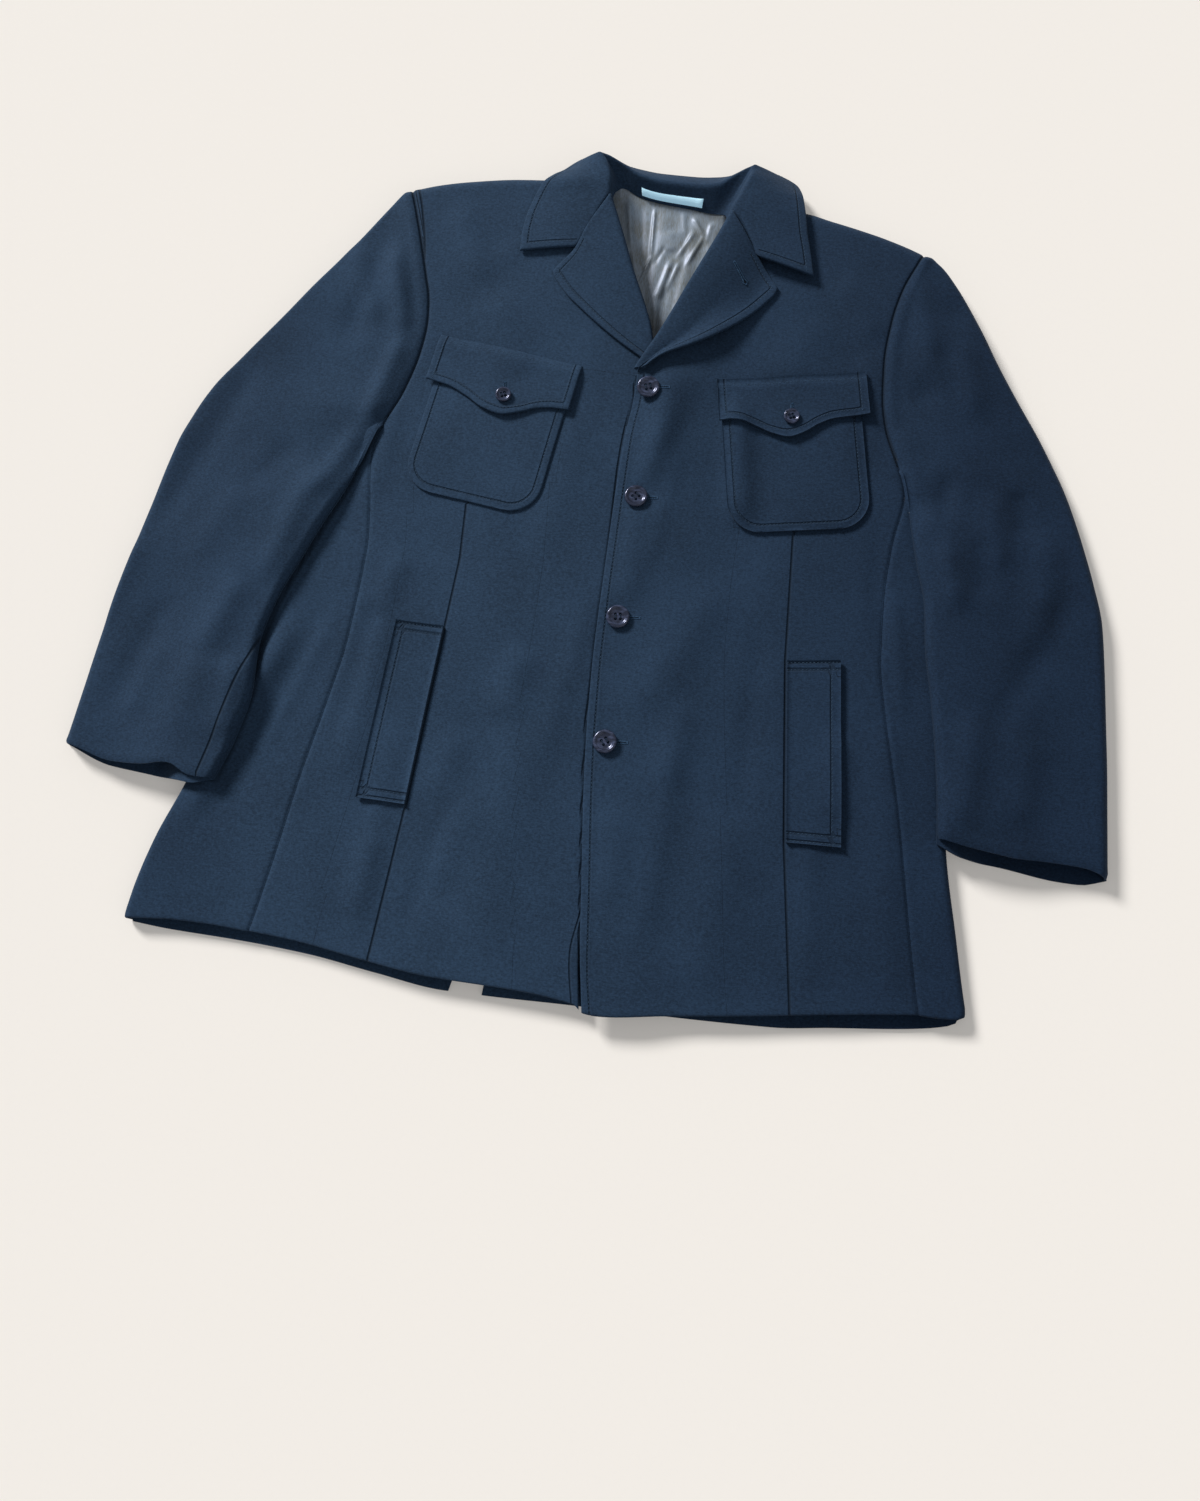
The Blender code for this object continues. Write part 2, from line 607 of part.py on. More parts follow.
def build_lapels(right, left):
    lapel_grid("lapel_right", LAPEL_RIGHT, right, -1, NOTCH_DENT, 11, 6)
    lapel_grid("lapel_left", LAPEL_LEFT, left, 1, 0.5, 11, 6)


def lapel_grid(name, table, front, sign, dent, rows, across):
    surface = surface_of(front)
    roll_y = front[:, 0, 1]
    roll_x = front[:, 0, 0]
    order = np.argsort(roll_y)
    ys = np.linspace(table[0][0], table[-1][0], rows)
    grid = []
    for k, y in enumerate(ys):
        start = np.array([float(np.interp(y, roll_y[order], roll_x[order])), y])
        end = np.array([float(curve(table, 0, 1)(y)), float(curve(table, 0, 2)(y))])
        radius = float(curve(table, 0, 3)(y))
        width = float(np.linalg.norm(end - start))
        out = (end - start) / width
        turn = np.array([out[1], -out[0]]) * sign
        base = surface(start[0] + out[0] * 1.5, start[1] + out[1] * 1.5)
        row = []
        for a in np.radians([-90, -50, -10, 30, 62]):
            back = ROLL_SEAM + radius * math.cos(a)
            q = start - out * back
            row.append((q[0], q[1], base - CLOTH + radius + radius * math.sin(a)))
        crest = base - CLOTH + 2 * radius
        near = float(ease((k - rows + 4) / 3.0))
        for t in np.linspace(0, 1, across):
            q = start + out * (width * t - ROLL_SEAM * (1 - t))
            q = q + turn * dent * near * math.exp(-((t - 0.68) / 0.2) ** 2)
            ground = surface(q[0] + out[0], q[1] + out[1], 2.0)
            ground = base if ground < 0 or t == 0 else ground
            lying = ground + LAID + LAPEL_CLOTH
            z = crest * (1 - ease(t * 1.15)) + lying * ease(t * 1.15)
            row.append((q[0], q[1], max(z, lying)))
        grid.append(row)
    sheet(name, np.array(grid), LAPEL_CLOTH, WOOL, side=sign, square=((0, 99),))


# Collar from the right gorge round the neck to the left one:
# (leaf edge x, y, z, fold x, y, z, stand foot x, y, z, bow of the leaf)
COLLAR = [(-135, 275, 29, -84, 285.6, 29.2, -77, 300, 22, 1.0),
          (-135.5, 294, 29, -76.8, 305.6, 30.3, -67, 315, 22, 1.0),
          (-134, 313, 28.5, -68.4, 325, 31.2, -60, 328, 21, 1.0),
          (-130, 331, 28, -60.5, 342, 31.8, -55.5, 341, 20, 1.4),
          (-124, 348, 28.5, -58.5, 354, 31.5, -54.5, 350, 18, 2.2),
          (-116, 364, 20, -61, 367, 31.5, -52, 356, 14, 2.2),
          (-108, 376, 11, -66, 379, 31, -50, 360, 11, 1.8),
          (-91, 391, 7, -71.5, 386.5, 30, -47, 361.5, 9, 1.2),
          (-71, 394, 4, -64.5, 385, 28.5, -43.5, 361, 7.5, 1.0),
          (-52, 391, 3, -49, 377.5, 26, -39.5, 359, 6.4, 1.6),
          (-34, 388, 2.8, -33, 368.5, 23.5, -29.5, 354.5, 5.6, 2.0),
          (-12, 385, 2.8, -11, 364, 22, -11, 350, 6, 2.2),
          (20, 384, 2.8, 21, 363, 22, 20, 345.5, 6.8, 2.2),
          (42, 386, 2.8, 41, 365, 23, 36, 342.5, 7.4, 2.0),
          (60, 390, 3, 56, 374, 26, 43, 342, 8, 1.6),
          (80, 393, 4, 65, 380.5, 28, 47, 341.5, 9, 1.0),
          (98, 389, 7, 73.5, 385, 30.3, 50, 340.5, 10.5, 1.2),
          (119, 374.5, 13, 72.5, 374, 32, 52, 338.5, 12.5, 1.8),
          (124, 353, 25, 65.5, 352, 33.5, 53, 334.5, 15, 2.2),
          (127, 334, 29.5, 60.5, 334, 34, 53, 328, 19, 1.4),
          (130, 315, 30, 71, 319.5, 33, 62, 318, 21, 1.0),
          (134.5, 295, 30, 80, 303.5, 31.6, 71, 308, 22, 1.0),
          (139, 271, 30, 88, 286.5, 30.2, 80, 298, 22, 1.0)]
COLLAR_ROWS = 35
STAND_ROWS = (6, 7, 8, 9, 11, 13, 14, 15, 16, 17, 18, 19, 20, 21, 22, 24, 26, 27, 28, 29)
STAND_GAP = 0.4
STAND_CORNERS = (7.3, 15.7)
STAND_CORNER_DROP = 0.4
STAND_CORNER_REACH = 3.2


# Woven label on the stand, as places in the COLLAR table and shares of the stand from the crest to the foot
LABEL_FROM = 10.05
LABEL_TO = 12.45
LABEL_DEPTH = (0.66, 0.9)
LABEL_CLOTH = 0.8


def build_collar():
    index = np.arange(len(COLLAR))
    reader = [smooth(index, column(COLLAR, k)) for k in range(10)]
    stations = np.linspace(0, len(COLLAR) - 1, COLLAR_ROWS)
    fall = []
    for q in stations:
        e = np.array([float(reader[k](q)) for k in (0, 1, 2)])
        f = np.array([float(reader[k](q)) for k in (3, 4, 5)])
        bow = float(reader[9](q))
        row = []
        for t in (0, 0.28, 0.55, 0.78, 0.92, 1.0):
            p = e + (f - e) * t
            p[2] += bow * math.sin(math.pi * t)
            row.append(p)
        fall.append(row)
    fall = np.array(fall)
    sheet("collar", fall, COLLAR_CLOTH, WOOL, side=1)
    under = fall[:, -1] - (COLLAR_CLOTH + STAND_GAP) * normals(fall)[:, -1]
    stand = []
    for k in STAND_ROWS:
        foot = np.array([float(reader[c](stations[k])) for c in (6, 7, 8)])
        corner = min(abs(stations[k] - c) for c in STAND_CORNERS)
        first = STAND_CORNER_DROP * max(0.0, 1 - corner / STAND_CORNER_REACH)
        stand.append([under[k] + (foot - under[k]) * t for t in np.linspace(first, 1, 4)])
    stand = np.array(stand)
    sheet("collar_stand", stand, COLLAR_CLOTH, WOOL, side=-1)
    out = normals(stand)
    face = stand + COLLAR_CLOTH * out
    rows = [stations[k] for k in STAND_ROWS]
    steps = np.linspace(0, 1, 4)
    label = []
    for q in np.linspace(LABEL_FROM, LABEL_TO, 9):
        row = []
        for t in LABEL_DEPTH:
            point = []
            for field in (face, out):
                across = [[np.interp(t, steps, field[r, :, c]) for c in range(3)] for r in range(len(rows))]
                point.append(np.array([np.interp(q, rows, [a[c] for a in across]) for c in range(3)]))
            row.append(point[0] + point[1] * (0.5 + LABEL_CLOTH))
        label.append(row)
    sheet("neck_label", np.array(label), LABEL_CLOTH, WOVEN, side=1, roughness=0.6)


# Lining seen in the neck: half width and length, soft pleats (x at the top, x at the bottom, width, height)
LINING_HALF = 62.0
LINING_LOW = 160.0
LINING_PLEATS = [(-44, -30, 5, 2.2), (-30, -18, 4, 1.4), (-8, -4, 7, 2.6), (12, 6, 4, 1.2),
                 (24, 14, 6, 2.4), (46, 30, 5, 1.8)]


def lining_height(x, y):
    drop = np.clip((346.0 - y) / 170.0, 0, 1)
    z = np.full(np.shape(x), FLOOR_LAYER + LINING + 0.1)
    for top_x, low_x, width, height in LINING_PLEATS:
        centre = top_x + (low_x - top_x) * drop
        along = ease((1.02 - drop) * 3) * ease(0.35 + drop * 3)
        z = z + height * np.exp(-((x - centre) / width) ** 2) * along
    return z


def build_lining():
    grid = []
    for v in np.linspace(0, 1, 7):
        xs = np.linspace(-LINING_HALF, LINING_HALF, 23)
        top = back_top(xs) - 2.5 - 0.04 * (xs + LINING_HALF)
        ys = LINING_LOW + (top - LINING_LOW) * v
        grid.append(np.stack([xs, ys, lining_height(xs, ys)], axis=1))
    sheet("lining", np.array(grid), LINING, SATIN, direction=(0, 0, -1), roughness=0.4)


# Flaps: corner at the seam, slope in degrees, width
FLAP_RIGHT = (-197.0, 185.0, -8.4, 136.5)
FLAP_LEFT = (61.0, 162.0, 9.0, 133.7)
# Lower edge of each flap: (distance along, depth)
FLAP_EDGE_RIGHT = [(0, 46.5), (22, 48.5), (42, 55), (60, 63), (76, 65.5), (92, 60), (108, 51.5),
                   (122, 47.8), (136.5, 46.5)]
FLAP_EDGE_LEFT = [(0, 41.5), (16, 42.8), (32, 48), (47, 55.5), (61, 59.5), (74, 56), (88, 48.5),
                  (102, 44), (133.7, 41.5)]
# Pockets in the flap's frame: start along, width, top depth, bottom depth, corner radius
POCKET_RIGHT = (7.5, 125.5, 12.0, 151.0, 28.0)
POCKET_LEFT = (2.5, 124.0, 12.0, 146.0, 28.0)
# Welts: top inner, top outer, bottom inner, bottom outer corners
WELT_RIGHT = ((-152, -91), (-194, -90), (-161, -248), (-203, -247))
WELT_LEFT = ((146, -90), (191, -85), (158, -243), (203, -242))


def frame_of(flap):
    x, y, slope, _ = flap
    a = math.radians(slope)
    origin = np.array([x, y])
    along = np.array([math.cos(a), math.sin(a)])
    down = np.array([math.sin(a), -math.cos(a)])
    return origin, along, down


def build_pockets(right, left):
    sides = (("right", FLAP_RIGHT, FLAP_EDGE_RIGHT, POCKET_RIGHT, WELT_RIGHT, right),
             ("left", FLAP_LEFT, FLAP_EDGE_LEFT, POCKET_LEFT, WELT_LEFT, left))
    for name, flap, edge, pocket, welt, front in sides:
        surface = surface_of(front)
        origin, along, down = frame_of(flap)
        start, width, top, bottom, corner = pocket
        grid = []
        depths = list(np.linspace(top, bottom - corner, 6))
        depths += [bottom - corner + corner * math.sin(a) for a in np.radians([25, 48, 68, 90])]
        for d in depths:
            over = max(0.0, d - (bottom - corner))
            half = width / 2 - corner + math.sqrt(max(corner ** 2 - over ** 2, 0.0))
            row = []
            for u in np.linspace(-1, 1, 11):
                p = origin + along * (start + width / 2 + half * u) + down * d
                row.append((p[0], p[1], surface(p[0], p[1], 3.0) + LAID + LIGHT_CLOTH))
            grid.append(row)
        sheet("pocket_" + name, np.array(grid), LIGHT_CLOTH, WOOL, direction=(0, 0, -1))
        grid = []
        low = curve(edge)
        for v in np.linspace(0, 1, 6):
            row = []
            for a in np.linspace(0, flap[3], 15):
                d = float(low(a)) * v
                p = origin + along * a + down * d
                rise = 2.3 * float(ease(d / 11.0)) + 2.6 * (d / 60.0) ** 2
                row.append((p[0], p[1], surface(p[0], p[1], 4.0) + LAID + rise + LIGHT_CLOTH))
            grid.append(row)
        sheet("flap_" + name, np.array(grid), LIGHT_CLOTH, WOOL, direction=(0, 0, -1))
        add_flap_button(name, surface_of(grid))
        grid = []
        corners = [np.array(c, float) for c in welt]
        for v in np.linspace(0, 1, 9):
            inner = corners[0] + (corners[2] - corners[0]) * v
            outer = corners[1] + (corners[3] - corners[1]) * v
            row = []
            for u in np.linspace(0, 1, 4):
                p = inner + (outer - inner) * u
                lift = 1.8 * u * u
                row.append((p[0], p[1], surface(p[0], p[1], 3.0) + LAID + lift + LIGHT_CLOTH))
            grid.append(row)
        sheet("welt_" + name, np.array(grid), LIGHT_CLOTH, WOOL, direction=(0, 0, -1))


# Buttons: (x, y) on the left front; (x, y) on the flaps
FRONT_BUTTONS = [(0.9, 145.8), (1.4, 42.8), (-1.6, -67.8), (0.4, -177.0)]
FLAP_BUTTONS = {"right": (-129.3, 127.5), "left": (130.7, 132.0)}
# Turned outline of a button: (share of the radius, share of the thickness)
BUTTON_PROFILE = [(0.86, 0.0), (1.0, 0.36), (0.985, 0.7), (0.86, 1.0), (0.7, 0.86), (0.58, 0.66)]
BUTTON_SIDES = 18
CREASED_SEAT = 0.6


def add_button(name, x, y, z, diameter, thickness):
    radius = diameter / 2
    verts = [(x, y, z)]
    for share, high in BUTTON_PROFILE:
        for k in range(BUTTON_SIDES):
            a = 2 * math.pi * k / BUTTON_SIDES
            verts.append((x + radius * share * math.cos(a), y + radius * share * math.sin(a),
                          z + thickness * high))
    verts.append((x, y, z + thickness * BUTTON_PROFILE[-1][1]))
    faces = []
    last = len(verts) - 1
    for k in range(BUTTON_SIDES):
        n = (k + 1) % BUTTON_SIDES
        faces.append((0, 1 + n, 1 + k))
        for r in range(len(BUTTON_PROFILE) - 1):
            a = 1 + r * BUTTON_SIDES
            b = a + BUTTON_SIDES
            faces.append((a + k, a + n, b + n))
            faces.append((a + k, b + n, b + k))
        top = 1 + (len(BUTTON_PROFILE) - 1) * BUTTON_SIDES
        faces.append((top + k, top + n, last))
    button = add_piece(name, verts, faces, HORN, 0.25, origin=(x, y, z))
    pitch = HOLE_PITCH * diameter / BUTTON_D / 2
    for number, (sx, sy) in enumerate(((1, 1), (1, -1), (-1, -1), (-1, 1))):
        verts, faces = [], []
        for level_z in (z - 1.0, z + thickness + 1.0):
            for k in range(8):
                a = 2 * math.pi * k / 8
                px = x + sx * pitch + HOLE_D / 2 * math.cos(a)
                py = y + sy * pitch + HOLE_D / 2 * math.sin(a)
                verts.append((px, py, level_z))
        faces.append(tuple(range(7, -1, -1)))
        faces.append(tuple(range(8, 16)))
        for k in range(8):
            n = (k + 1) % 8
            faces.append((k, n, 8 + n, 8 + k))
        cutter = add_piece(name + "_hole_%d" % number, verts, faces, HORN, 0.25)
        cut = button.modifiers.new("hole_%d" % number, "BOOLEAN")
        cut.operation = "DIFFERENCE"
        cut.solver = "EXACT"
        cut.object = cutter
        cutter.hide_render = True
        cutter.display_type = "WIRE"


def add_flap_button(side, surface):
    x, y = FLAP_BUTTONS[side]
    z = surface(x, y, FLAP_BUTTON_D / 3) + CREASED_SEAT
    add_button("flap_button_" + side, x, y, z, FLAP_BUTTON_D, FLAP_BUTTON_T)


def build_buttons(left):
    surface = surface_of(left)
    for number, (x, y) in enumerate(FRONT_BUTTONS):
        z = surface(x, y, BUTTON_D / 3) + CREASED_SEAT
        add_button("front_button_%d" % (number + 1), x, y, z, BUTTON_D, BUTTON_T)


def main():
    for obj in list(bpy.data.objects):
        bpy.data.objects.remove(obj, do_unlink=True)
    right, left = build_fronts()
    build_back()
    build_sides()
    build_sleeves(armhole_points(right), armhole_points(left))
    build_lining()
    build_lapels(right, left)
    build_collar()
    build_pockets(right, left)
    build_buttons(left)


main()
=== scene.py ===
import math
import bpy
import bmesh
import numpy as np
from mathutils import Matrix, Vector
from mathutils.bvhtree import BVHTree


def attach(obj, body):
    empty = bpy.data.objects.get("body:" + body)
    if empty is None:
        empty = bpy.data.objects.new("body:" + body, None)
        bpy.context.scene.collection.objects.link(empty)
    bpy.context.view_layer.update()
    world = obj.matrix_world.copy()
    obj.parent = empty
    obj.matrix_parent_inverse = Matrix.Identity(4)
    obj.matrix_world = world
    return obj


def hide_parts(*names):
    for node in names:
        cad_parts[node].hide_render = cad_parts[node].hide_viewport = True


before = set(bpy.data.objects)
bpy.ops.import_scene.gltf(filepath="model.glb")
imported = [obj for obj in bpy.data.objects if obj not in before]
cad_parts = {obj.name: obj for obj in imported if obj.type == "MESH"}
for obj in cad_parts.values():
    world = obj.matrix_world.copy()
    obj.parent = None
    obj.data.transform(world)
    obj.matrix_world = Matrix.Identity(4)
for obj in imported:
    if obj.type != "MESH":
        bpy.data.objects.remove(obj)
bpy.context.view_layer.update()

MM = 0.001             # every length here is in millimetres, up to the meshes
rng = np.random.default_rng(7)

# Cloth and seams
CLOTH = 2.4            # wool, canvas and lining together, sewn as one panel
LIGHT_CLOTH = 1.6      # patch pockets, flaps and welts
COLLAR_CLOTH = 2.0
LAPEL_CLOTH = 2.2
LINING = 1.0
LABEL_CLOTH = 0.6
LAID = 0.5             # under a piece that lies on a curved panel
SEAM = 0.3             # space between neighbouring pieces
HALF_SEAM = 0.15
FLOOR_LAYER = CLOTH + SEAM   # height where the upper sheets land on the lower ones
FAR = 50.0             # distance that stands for no seam or stitch row nearby

# Rounded edges
SHOULDER_ROUND = 15.0
SLEEVE_ROUND = 9.0
SLEEVE_INNER_ROUND = 7.0
EDGE_ROUND = 1.4
OVERLAP_LIFT = 3.5     # left front lies on the right one along the buttons
OVERLAP_END = 34.0
OVERLAP_FADE = 60.0

# Buttons
BUTTON_D = 20.6
BUTTON_T = 3.6
FLAP_BUTTON_D = 14.5
FLAP_BUTTON_T = 3.0
HOLE_D = 1.9
HOLE_PITCH = 4.2
BUTTON_SEAT = 0.8      # space under a button

# Rows of stitches: from one stitch to the next, length, radius, height over the cloth
STITCH_PITCH = 3.2
STITCH_LENGTH = 1.76
STITCH_RADIUS = 0.2
STITCH_LIFT = 0.05
STITCH_IN = 7.2        # from the edge of fronts, lapels and collar
POCKET_IN = 6.6
FLAP_IN = 6.8
WELT_IN = 8.0


def smooth(stations, values):
    """Monotone cubic through the rows of a table."""
    xs = np.array(stations, float)
    ys = np.array(values, float)
    step = np.diff(xs)
    slope = np.diff(ys) / step
    tangent = np.zeros_like(ys)
    tangent[0] = slope[0]
    tangent[-1] = slope[-1]
    for k in range(1, len(xs) - 1):
        a, b = slope[k - 1], slope[k]
        if a * b > 0:
            tangent[k] = 2.0 * a * b / (a + b)

    def value(q):
        q = np.clip(np.asarray(q, float), xs[0], xs[-1])
        i = np.clip(np.searchsorted(xs, q) - 1, 0, len(xs) - 2)
        h = step[i]
        t = (q - xs[i]) / h
        p = ys[i] * (1 + 2 * t) * (1 - t) ** 2 + tangent[i] * h * t * (1 - t) ** 2
        return p + ys[i + 1] * t * t * (3 - 2 * t) + tangent[i + 1] * h * t * t * (t - 1)
    return value


def column(table, k):
    return [row[k] for row in table]


def curve(table, a=0, b=1):
    return smooth(column(table, a), column(table, b))


def ease(t):
    t = np.clip(t, 0.0, 1.0)
    return t * t * (3 - 2 * t)


def edge_round(distance, radius):
    d = np.clip(distance / radius, 0.0, 1.0)
    return np.sqrt(np.clip(1 - (1 - d) ** 2, 0.0, 1.0))


def unit(v):
    return v / max(np.linalg.norm(v), 1e-6)


def lengths(points):
    """Distance along a row of points."""
    return np.concatenate([[0], np.cumsum(np.linalg.norm(np.diff(points, axis=0), axis=1))])


def point_at(q, stations, points):
    return np.array([np.interp(q, stations, points[:, i]) for i in range(points.shape[1])])


# ---------------------------------------------------------------- outlines
# Height of the upper sheet's outer face along the body: (y, z)
LEVEL = [(-405, 11.5), (-300, 13.5), (-150, 15.0), (0, 16.5), (120, 18.5), (220, 21.0), (300, 22.5), (365, 22.5)]

# Silhouette of the shoulders and back neck: (x, y)
TOP_LINE = [
    (-262, 336), (-250, 340.5), (-225, 348.5), (-193, 355), (-149, 361), (-100, 363.5), (-75, 364.5), (75, 349),
    (100, 350), (127, 348), (151, 342), (179, 335), (205, 327.5), (239, 314), (250, 307)]

# Hem of the upper layer and of the back: (x, y)
HEM_FRONT = [
    (-384, -366), (-342, -361), (-312, -362), (-273, -366), (-235, -369), (-172, -378), (-120, -384), (-49, -386),
    (0, -391), (9, -397), (18, -398), (76, -391), (140, -383), (205, -374), (271, -366), (312, -362)]
HEM_BACK = [
    (-384, -369), (-345, -372), (-285, -374), (-225, -378), (-166, -386), (-106, -393), (-74, -393), (-10, -392),
    (87, -391), (162, -389), (205, -384), (268, -377), (299, -371), (312, -364)]

# Front edge then roll line of each front: (y before levelling, x)
RIGHT_EDGE = [
    (-380, 2), (-345, -3), (-318, 1), (-280, 8), (-220, 16), (-140, 20), (0, 20), (130, 20), (160, 13), (180, 4),
    (195, -3.5), (209, -7.5), (228, -14.8), (248, -23.8), (266, -32.3), (284, -40.2), (300, -48), (320, -58.5),
    (332, -66), (340, -78)]
LEFT_EDGE = [
    (-380, 8), (-345, 1), (-293, -5), (-203, -14), (-158, -17), (-88, -19), (21, -18), (97, -16), (135, -12),
    (163, -11), (178, -4), (193, 4), (220, 16), (241, 25.8), (262, 37.2), (285, 50), (298, 57), (310, 64), (320, 80)]

# Side seam then armhole of each front: (y before levelling, x)
RIGHT_SIDE = [
    (-380, -275), (-285, -262), (-228, -254), (-171, -244), (-109, -235), (-27, -232), (5, -235), (66, -243),
    (87, -239), (122, -225), (169, -214), (193, -212), (218, -214), (249, -222), (279, -231), (313, -242),
    (340, -251)]
LEFT_SIDE = [
    (-380, 274), (-276, 259), (-206, 248), (-127, 232), (-79, 225), (-29, 224), (23, 228), (71, 236), (90, 231),
    (135, 215), (162, 211), (197, 210), (236, 214), (266, 221), (300, 234), (320, 241)]

# Fold at each side: (y, x of the fold, x of the back seam under it)
RIGHT_FOLD = [
    (-370, -383, -345), (-344, -380, -340), (-300, -371, -330), (-245, -353, -312), (-160, -333, -290),
    (-80, -313, -268), (0, -296, -252), (70, -280, -240)]
LEFT_FOLD = [
    (-370, 311, 205), (-304, 301, 203), (-239, 290, 202), (-160, 282, 201), (-80, 275, 200), (0, 268, 200),
    (74, 262, 200)]

# Centre back seam, open as a vent below its top: (y, x right piece, x left piece)
CENTRE_BACK = [(-395, -104, -76), (-300, -83, -69), (-215, -67, -62), (-170, -57, -57), (345, 0, 0)]

# Back armhole above the side panels: (y before levelling, x)
BACK_ARM_RIGHT = [
    (64, -241), (88, -245), (122, -233), (169, -221), (218, -219), (279, -234), (325, -242), (340, -244)]
BACK_ARM_LEFT = [
    (69, 200), (92, 234), (135, 223), (197, 217), (260, 225), (280, 229), (300, 232), (320, 234), (340, 235)]

# Rows of the panels before levelling: the hem, the shoulders, the tops of the side panels
LOW = -380.0
RIGHT_TOP = 340.0
LEFT_TOP = 320.0
BACK_TOP = 340.0
SIDE_TOP = {"right": 64.0, "left": 69.0}
SIDE_STEP = 14.0       # height over which the back widens from side panel to armhole

# Folds in the upper layer of the body: (x0, y0, x1, y1, width, height)
BODY_DEPTH = 1.3
BODY_FOLDS = [
    (-266, -70, -318, -262, 15, -2.6), (-205, -85, -222, -235, 12, 1.6), (-100, -235, -132, -312, 17, 1.8),
    (42, 176, 12, 80, 13, 2.0), (88, -25, 22, -150, 20, 2.2), (-60, -150, -95, -370, 26, 2.2),
    (110, -230, 96, -372, 24, 2.4), (230, -130, 250, -350, 14, 1.6), (-150, 230, -120, 150, 24, 1.8),
    (150, 235, 120, 165, 22, 1.8)]
# Smaller creases of the upper layer
FINE_DEPTH = 1.5
FINE_FOLDS = [
    (-281, -97, -355, -280, 15, 4.5), (-81, -104, -91, -166, 16, 2.2), (18, 173, 10, 53, 15, 4.8),
    (9, 43, 0, -57, 15, 2.4), (79, 143, 94, 28, 12, 4.6), (-197, -29, -216, -85, 12, 1.8),
    (-126, -181, -135, -244, 14, 1.6), (63, -134, 53, -211, 14, 1.6), (195, -146, 195, -220, 12, 1.5),
    (18, -229, 20, -312, 14, 1.4), (-185, -275, -192, -343, 12, 1.5), (165, 274, 202, 217, 12, 1.8),
    (-201, 319, -164, 244, 14, 1.6), (-240, 235, -262, 150, 7, -1.0), (-226, 120, -236, 20, 8, 1.2),
    (-215, -60, -228, -190, 6, -1.0), (-180, -180, -186, -360, 10, 1.2), (-126, -250, -146, -350, 7, -1.0),
    (-60, 120, -75, -20, 14, 1.0), (-30, -60, -52, -200, 10, 1.0), (36, 100, 20, -20, 8, 1.1),
    (60, -160, 48, -340, 12, 1.3), (122, -60, 118, -220, 9, -0.9), (176, -230, 186, -360, 10, 1.1),
    (214, 40, 222, -80, 8, -1.0), (190, 200, 204, 130, 7, 1.0), (96, 255, 140, 240, 9, 0.9),
    (-120, 292, -160, 262, 10, 0.9), (232, -20, 246, -130, 7, 1.0), (-250, -90, -296, -230, 6, 1.0),
    (4, 140, -20, 60, 7, 0.8)]
# Unevenness of pressed wool: (rate, direction, start, height)
WAVES = [
    (0.021, 0.6, 1.3, 0.35), (0.033, 2.1, 4.0, 0.28), (0.047, 1.2, 0.5, 0.2), (0.062, 2.8, 2.2, 0.16),
    (0.085, 0.2, 5.1, 0.1), (0.11, 1.7, 3.3, 0.07)]

# Darts: (x, y)
DART_RIGHT = [(-172, -384), (-160, -248), (-151, -91), (-147, -28), (-149, 24)]
DART_LEFT = [(174, -384), (157, -243), (145, -90), (142, 27)]
ARM_BAND = {"right": 262.0, "left": 999.0}   # y where the band beside the shoulder seam runs out
ARMPIT = 96.0          # the armhole seam shows above this y
LAP_TOP = 165.0        # the left front's edge lies on the right front below this y

# Sections from the shoulder to the cuff:
# (outer x, outer y, inner x, inner y, thickness outside, thickness inside, 1 where the inner edge is free)
SLEEVE_RIGHT = [
    (-254, 338, -249.7, 340.6, 12, 12, 0), (-262.5, 329.5, -248.5, 334.5, 19, 19, 0),
    (-273, 314, -241.5, 312, 20, 22, 0), (-298, 274, -230, 276, 20, 22, 0), (-330, 229, -219, 237, 20, 22, 0),
    (-356, 190, -213, 200, 19, 21, 0), (-385, 148, -215, 163, 18, 21, 0), (-406, 117, -223, 126, 17, 22, 0),
    (-421, 82, -242, 86, 16, 9.5, 1), (-433, 35, -258, 31, 16, 12.5, 1), (-440, -6, -274, -7, 16, 13.5, 1),
    (-447, -48, -289, -46, 16, 13, 1), (-454, -92, -303, -84, 16, 13, 1), (-459, -135, -310, -124, 16, 13, 1),
    (-463, -178, -307, -165, 16, 13, 1), (-466, -209, -315, -208, 16, 13, 1), (-468, -228, -327, -246, 16, 13, 1)]
SLEEVE_LEFT = [
    (246, 312, 239.2, 313.5, 12, 12, 0), (253.5, 305, 237.7, 308.5, 18, 18, 0), (260.5, 299, 232, 292, 20, 22, 0),
    (280, 271, 224, 266, 20, 22, 0), (298, 238, 216, 238, 20, 21, 0), (314, 206, 211.5, 206, 19, 20, 0),
    (334, 170, 211.5, 170, 18, 20, 0), (352, 139, 215, 139, 17, 22, 0), (368, 108, 226, 104, 16, 19, 0),
    (375, 93, 232.5, 88, 16, 9.5, 1), (381, 78, 237, 72, 16, 10.5, 1), (392, 46, 242, 44, 16, 13.5, 1),
    (403, 8, 250, 6, 16, 13, 1), (411, -27, 258, -27, 16, 13, 1), (414, -68, 261, -66, 16, 13, 1),
    (416, -112, 268, -108, 16, 13, 1), (418, -157, 274, -152, 16, 13, 1), (419, -200, 278, -193, 16, 13, 1),
    (420, -242, 280, -226, 16, 13, 1)]
# Cuff line of the upper and of the lower sheet: (distance from the outer edge over the width, y shift)
CUFF_TOP_RIGHT = [(0, 0), (0.12, -2), (0.3, -6), (0.52, -3), (0.72, 4), (0.86, -2), (1, 0)]
CUFF_LOW_RIGHT = [(0, 0), (0.3, -9), (0.6, -8), (0.85, -8), (1, 0)]
CUFF_TOP_LEFT = [(0, 0), (0.15, 4), (0.35, 2), (0.6, -2), (0.8, -2), (1, 0)]
CUFF_LOW_LEFT = [(0, 0), (0.15, -8), (0.35, -10), (0.6, -9), (0.85, -10), (1, -4)]

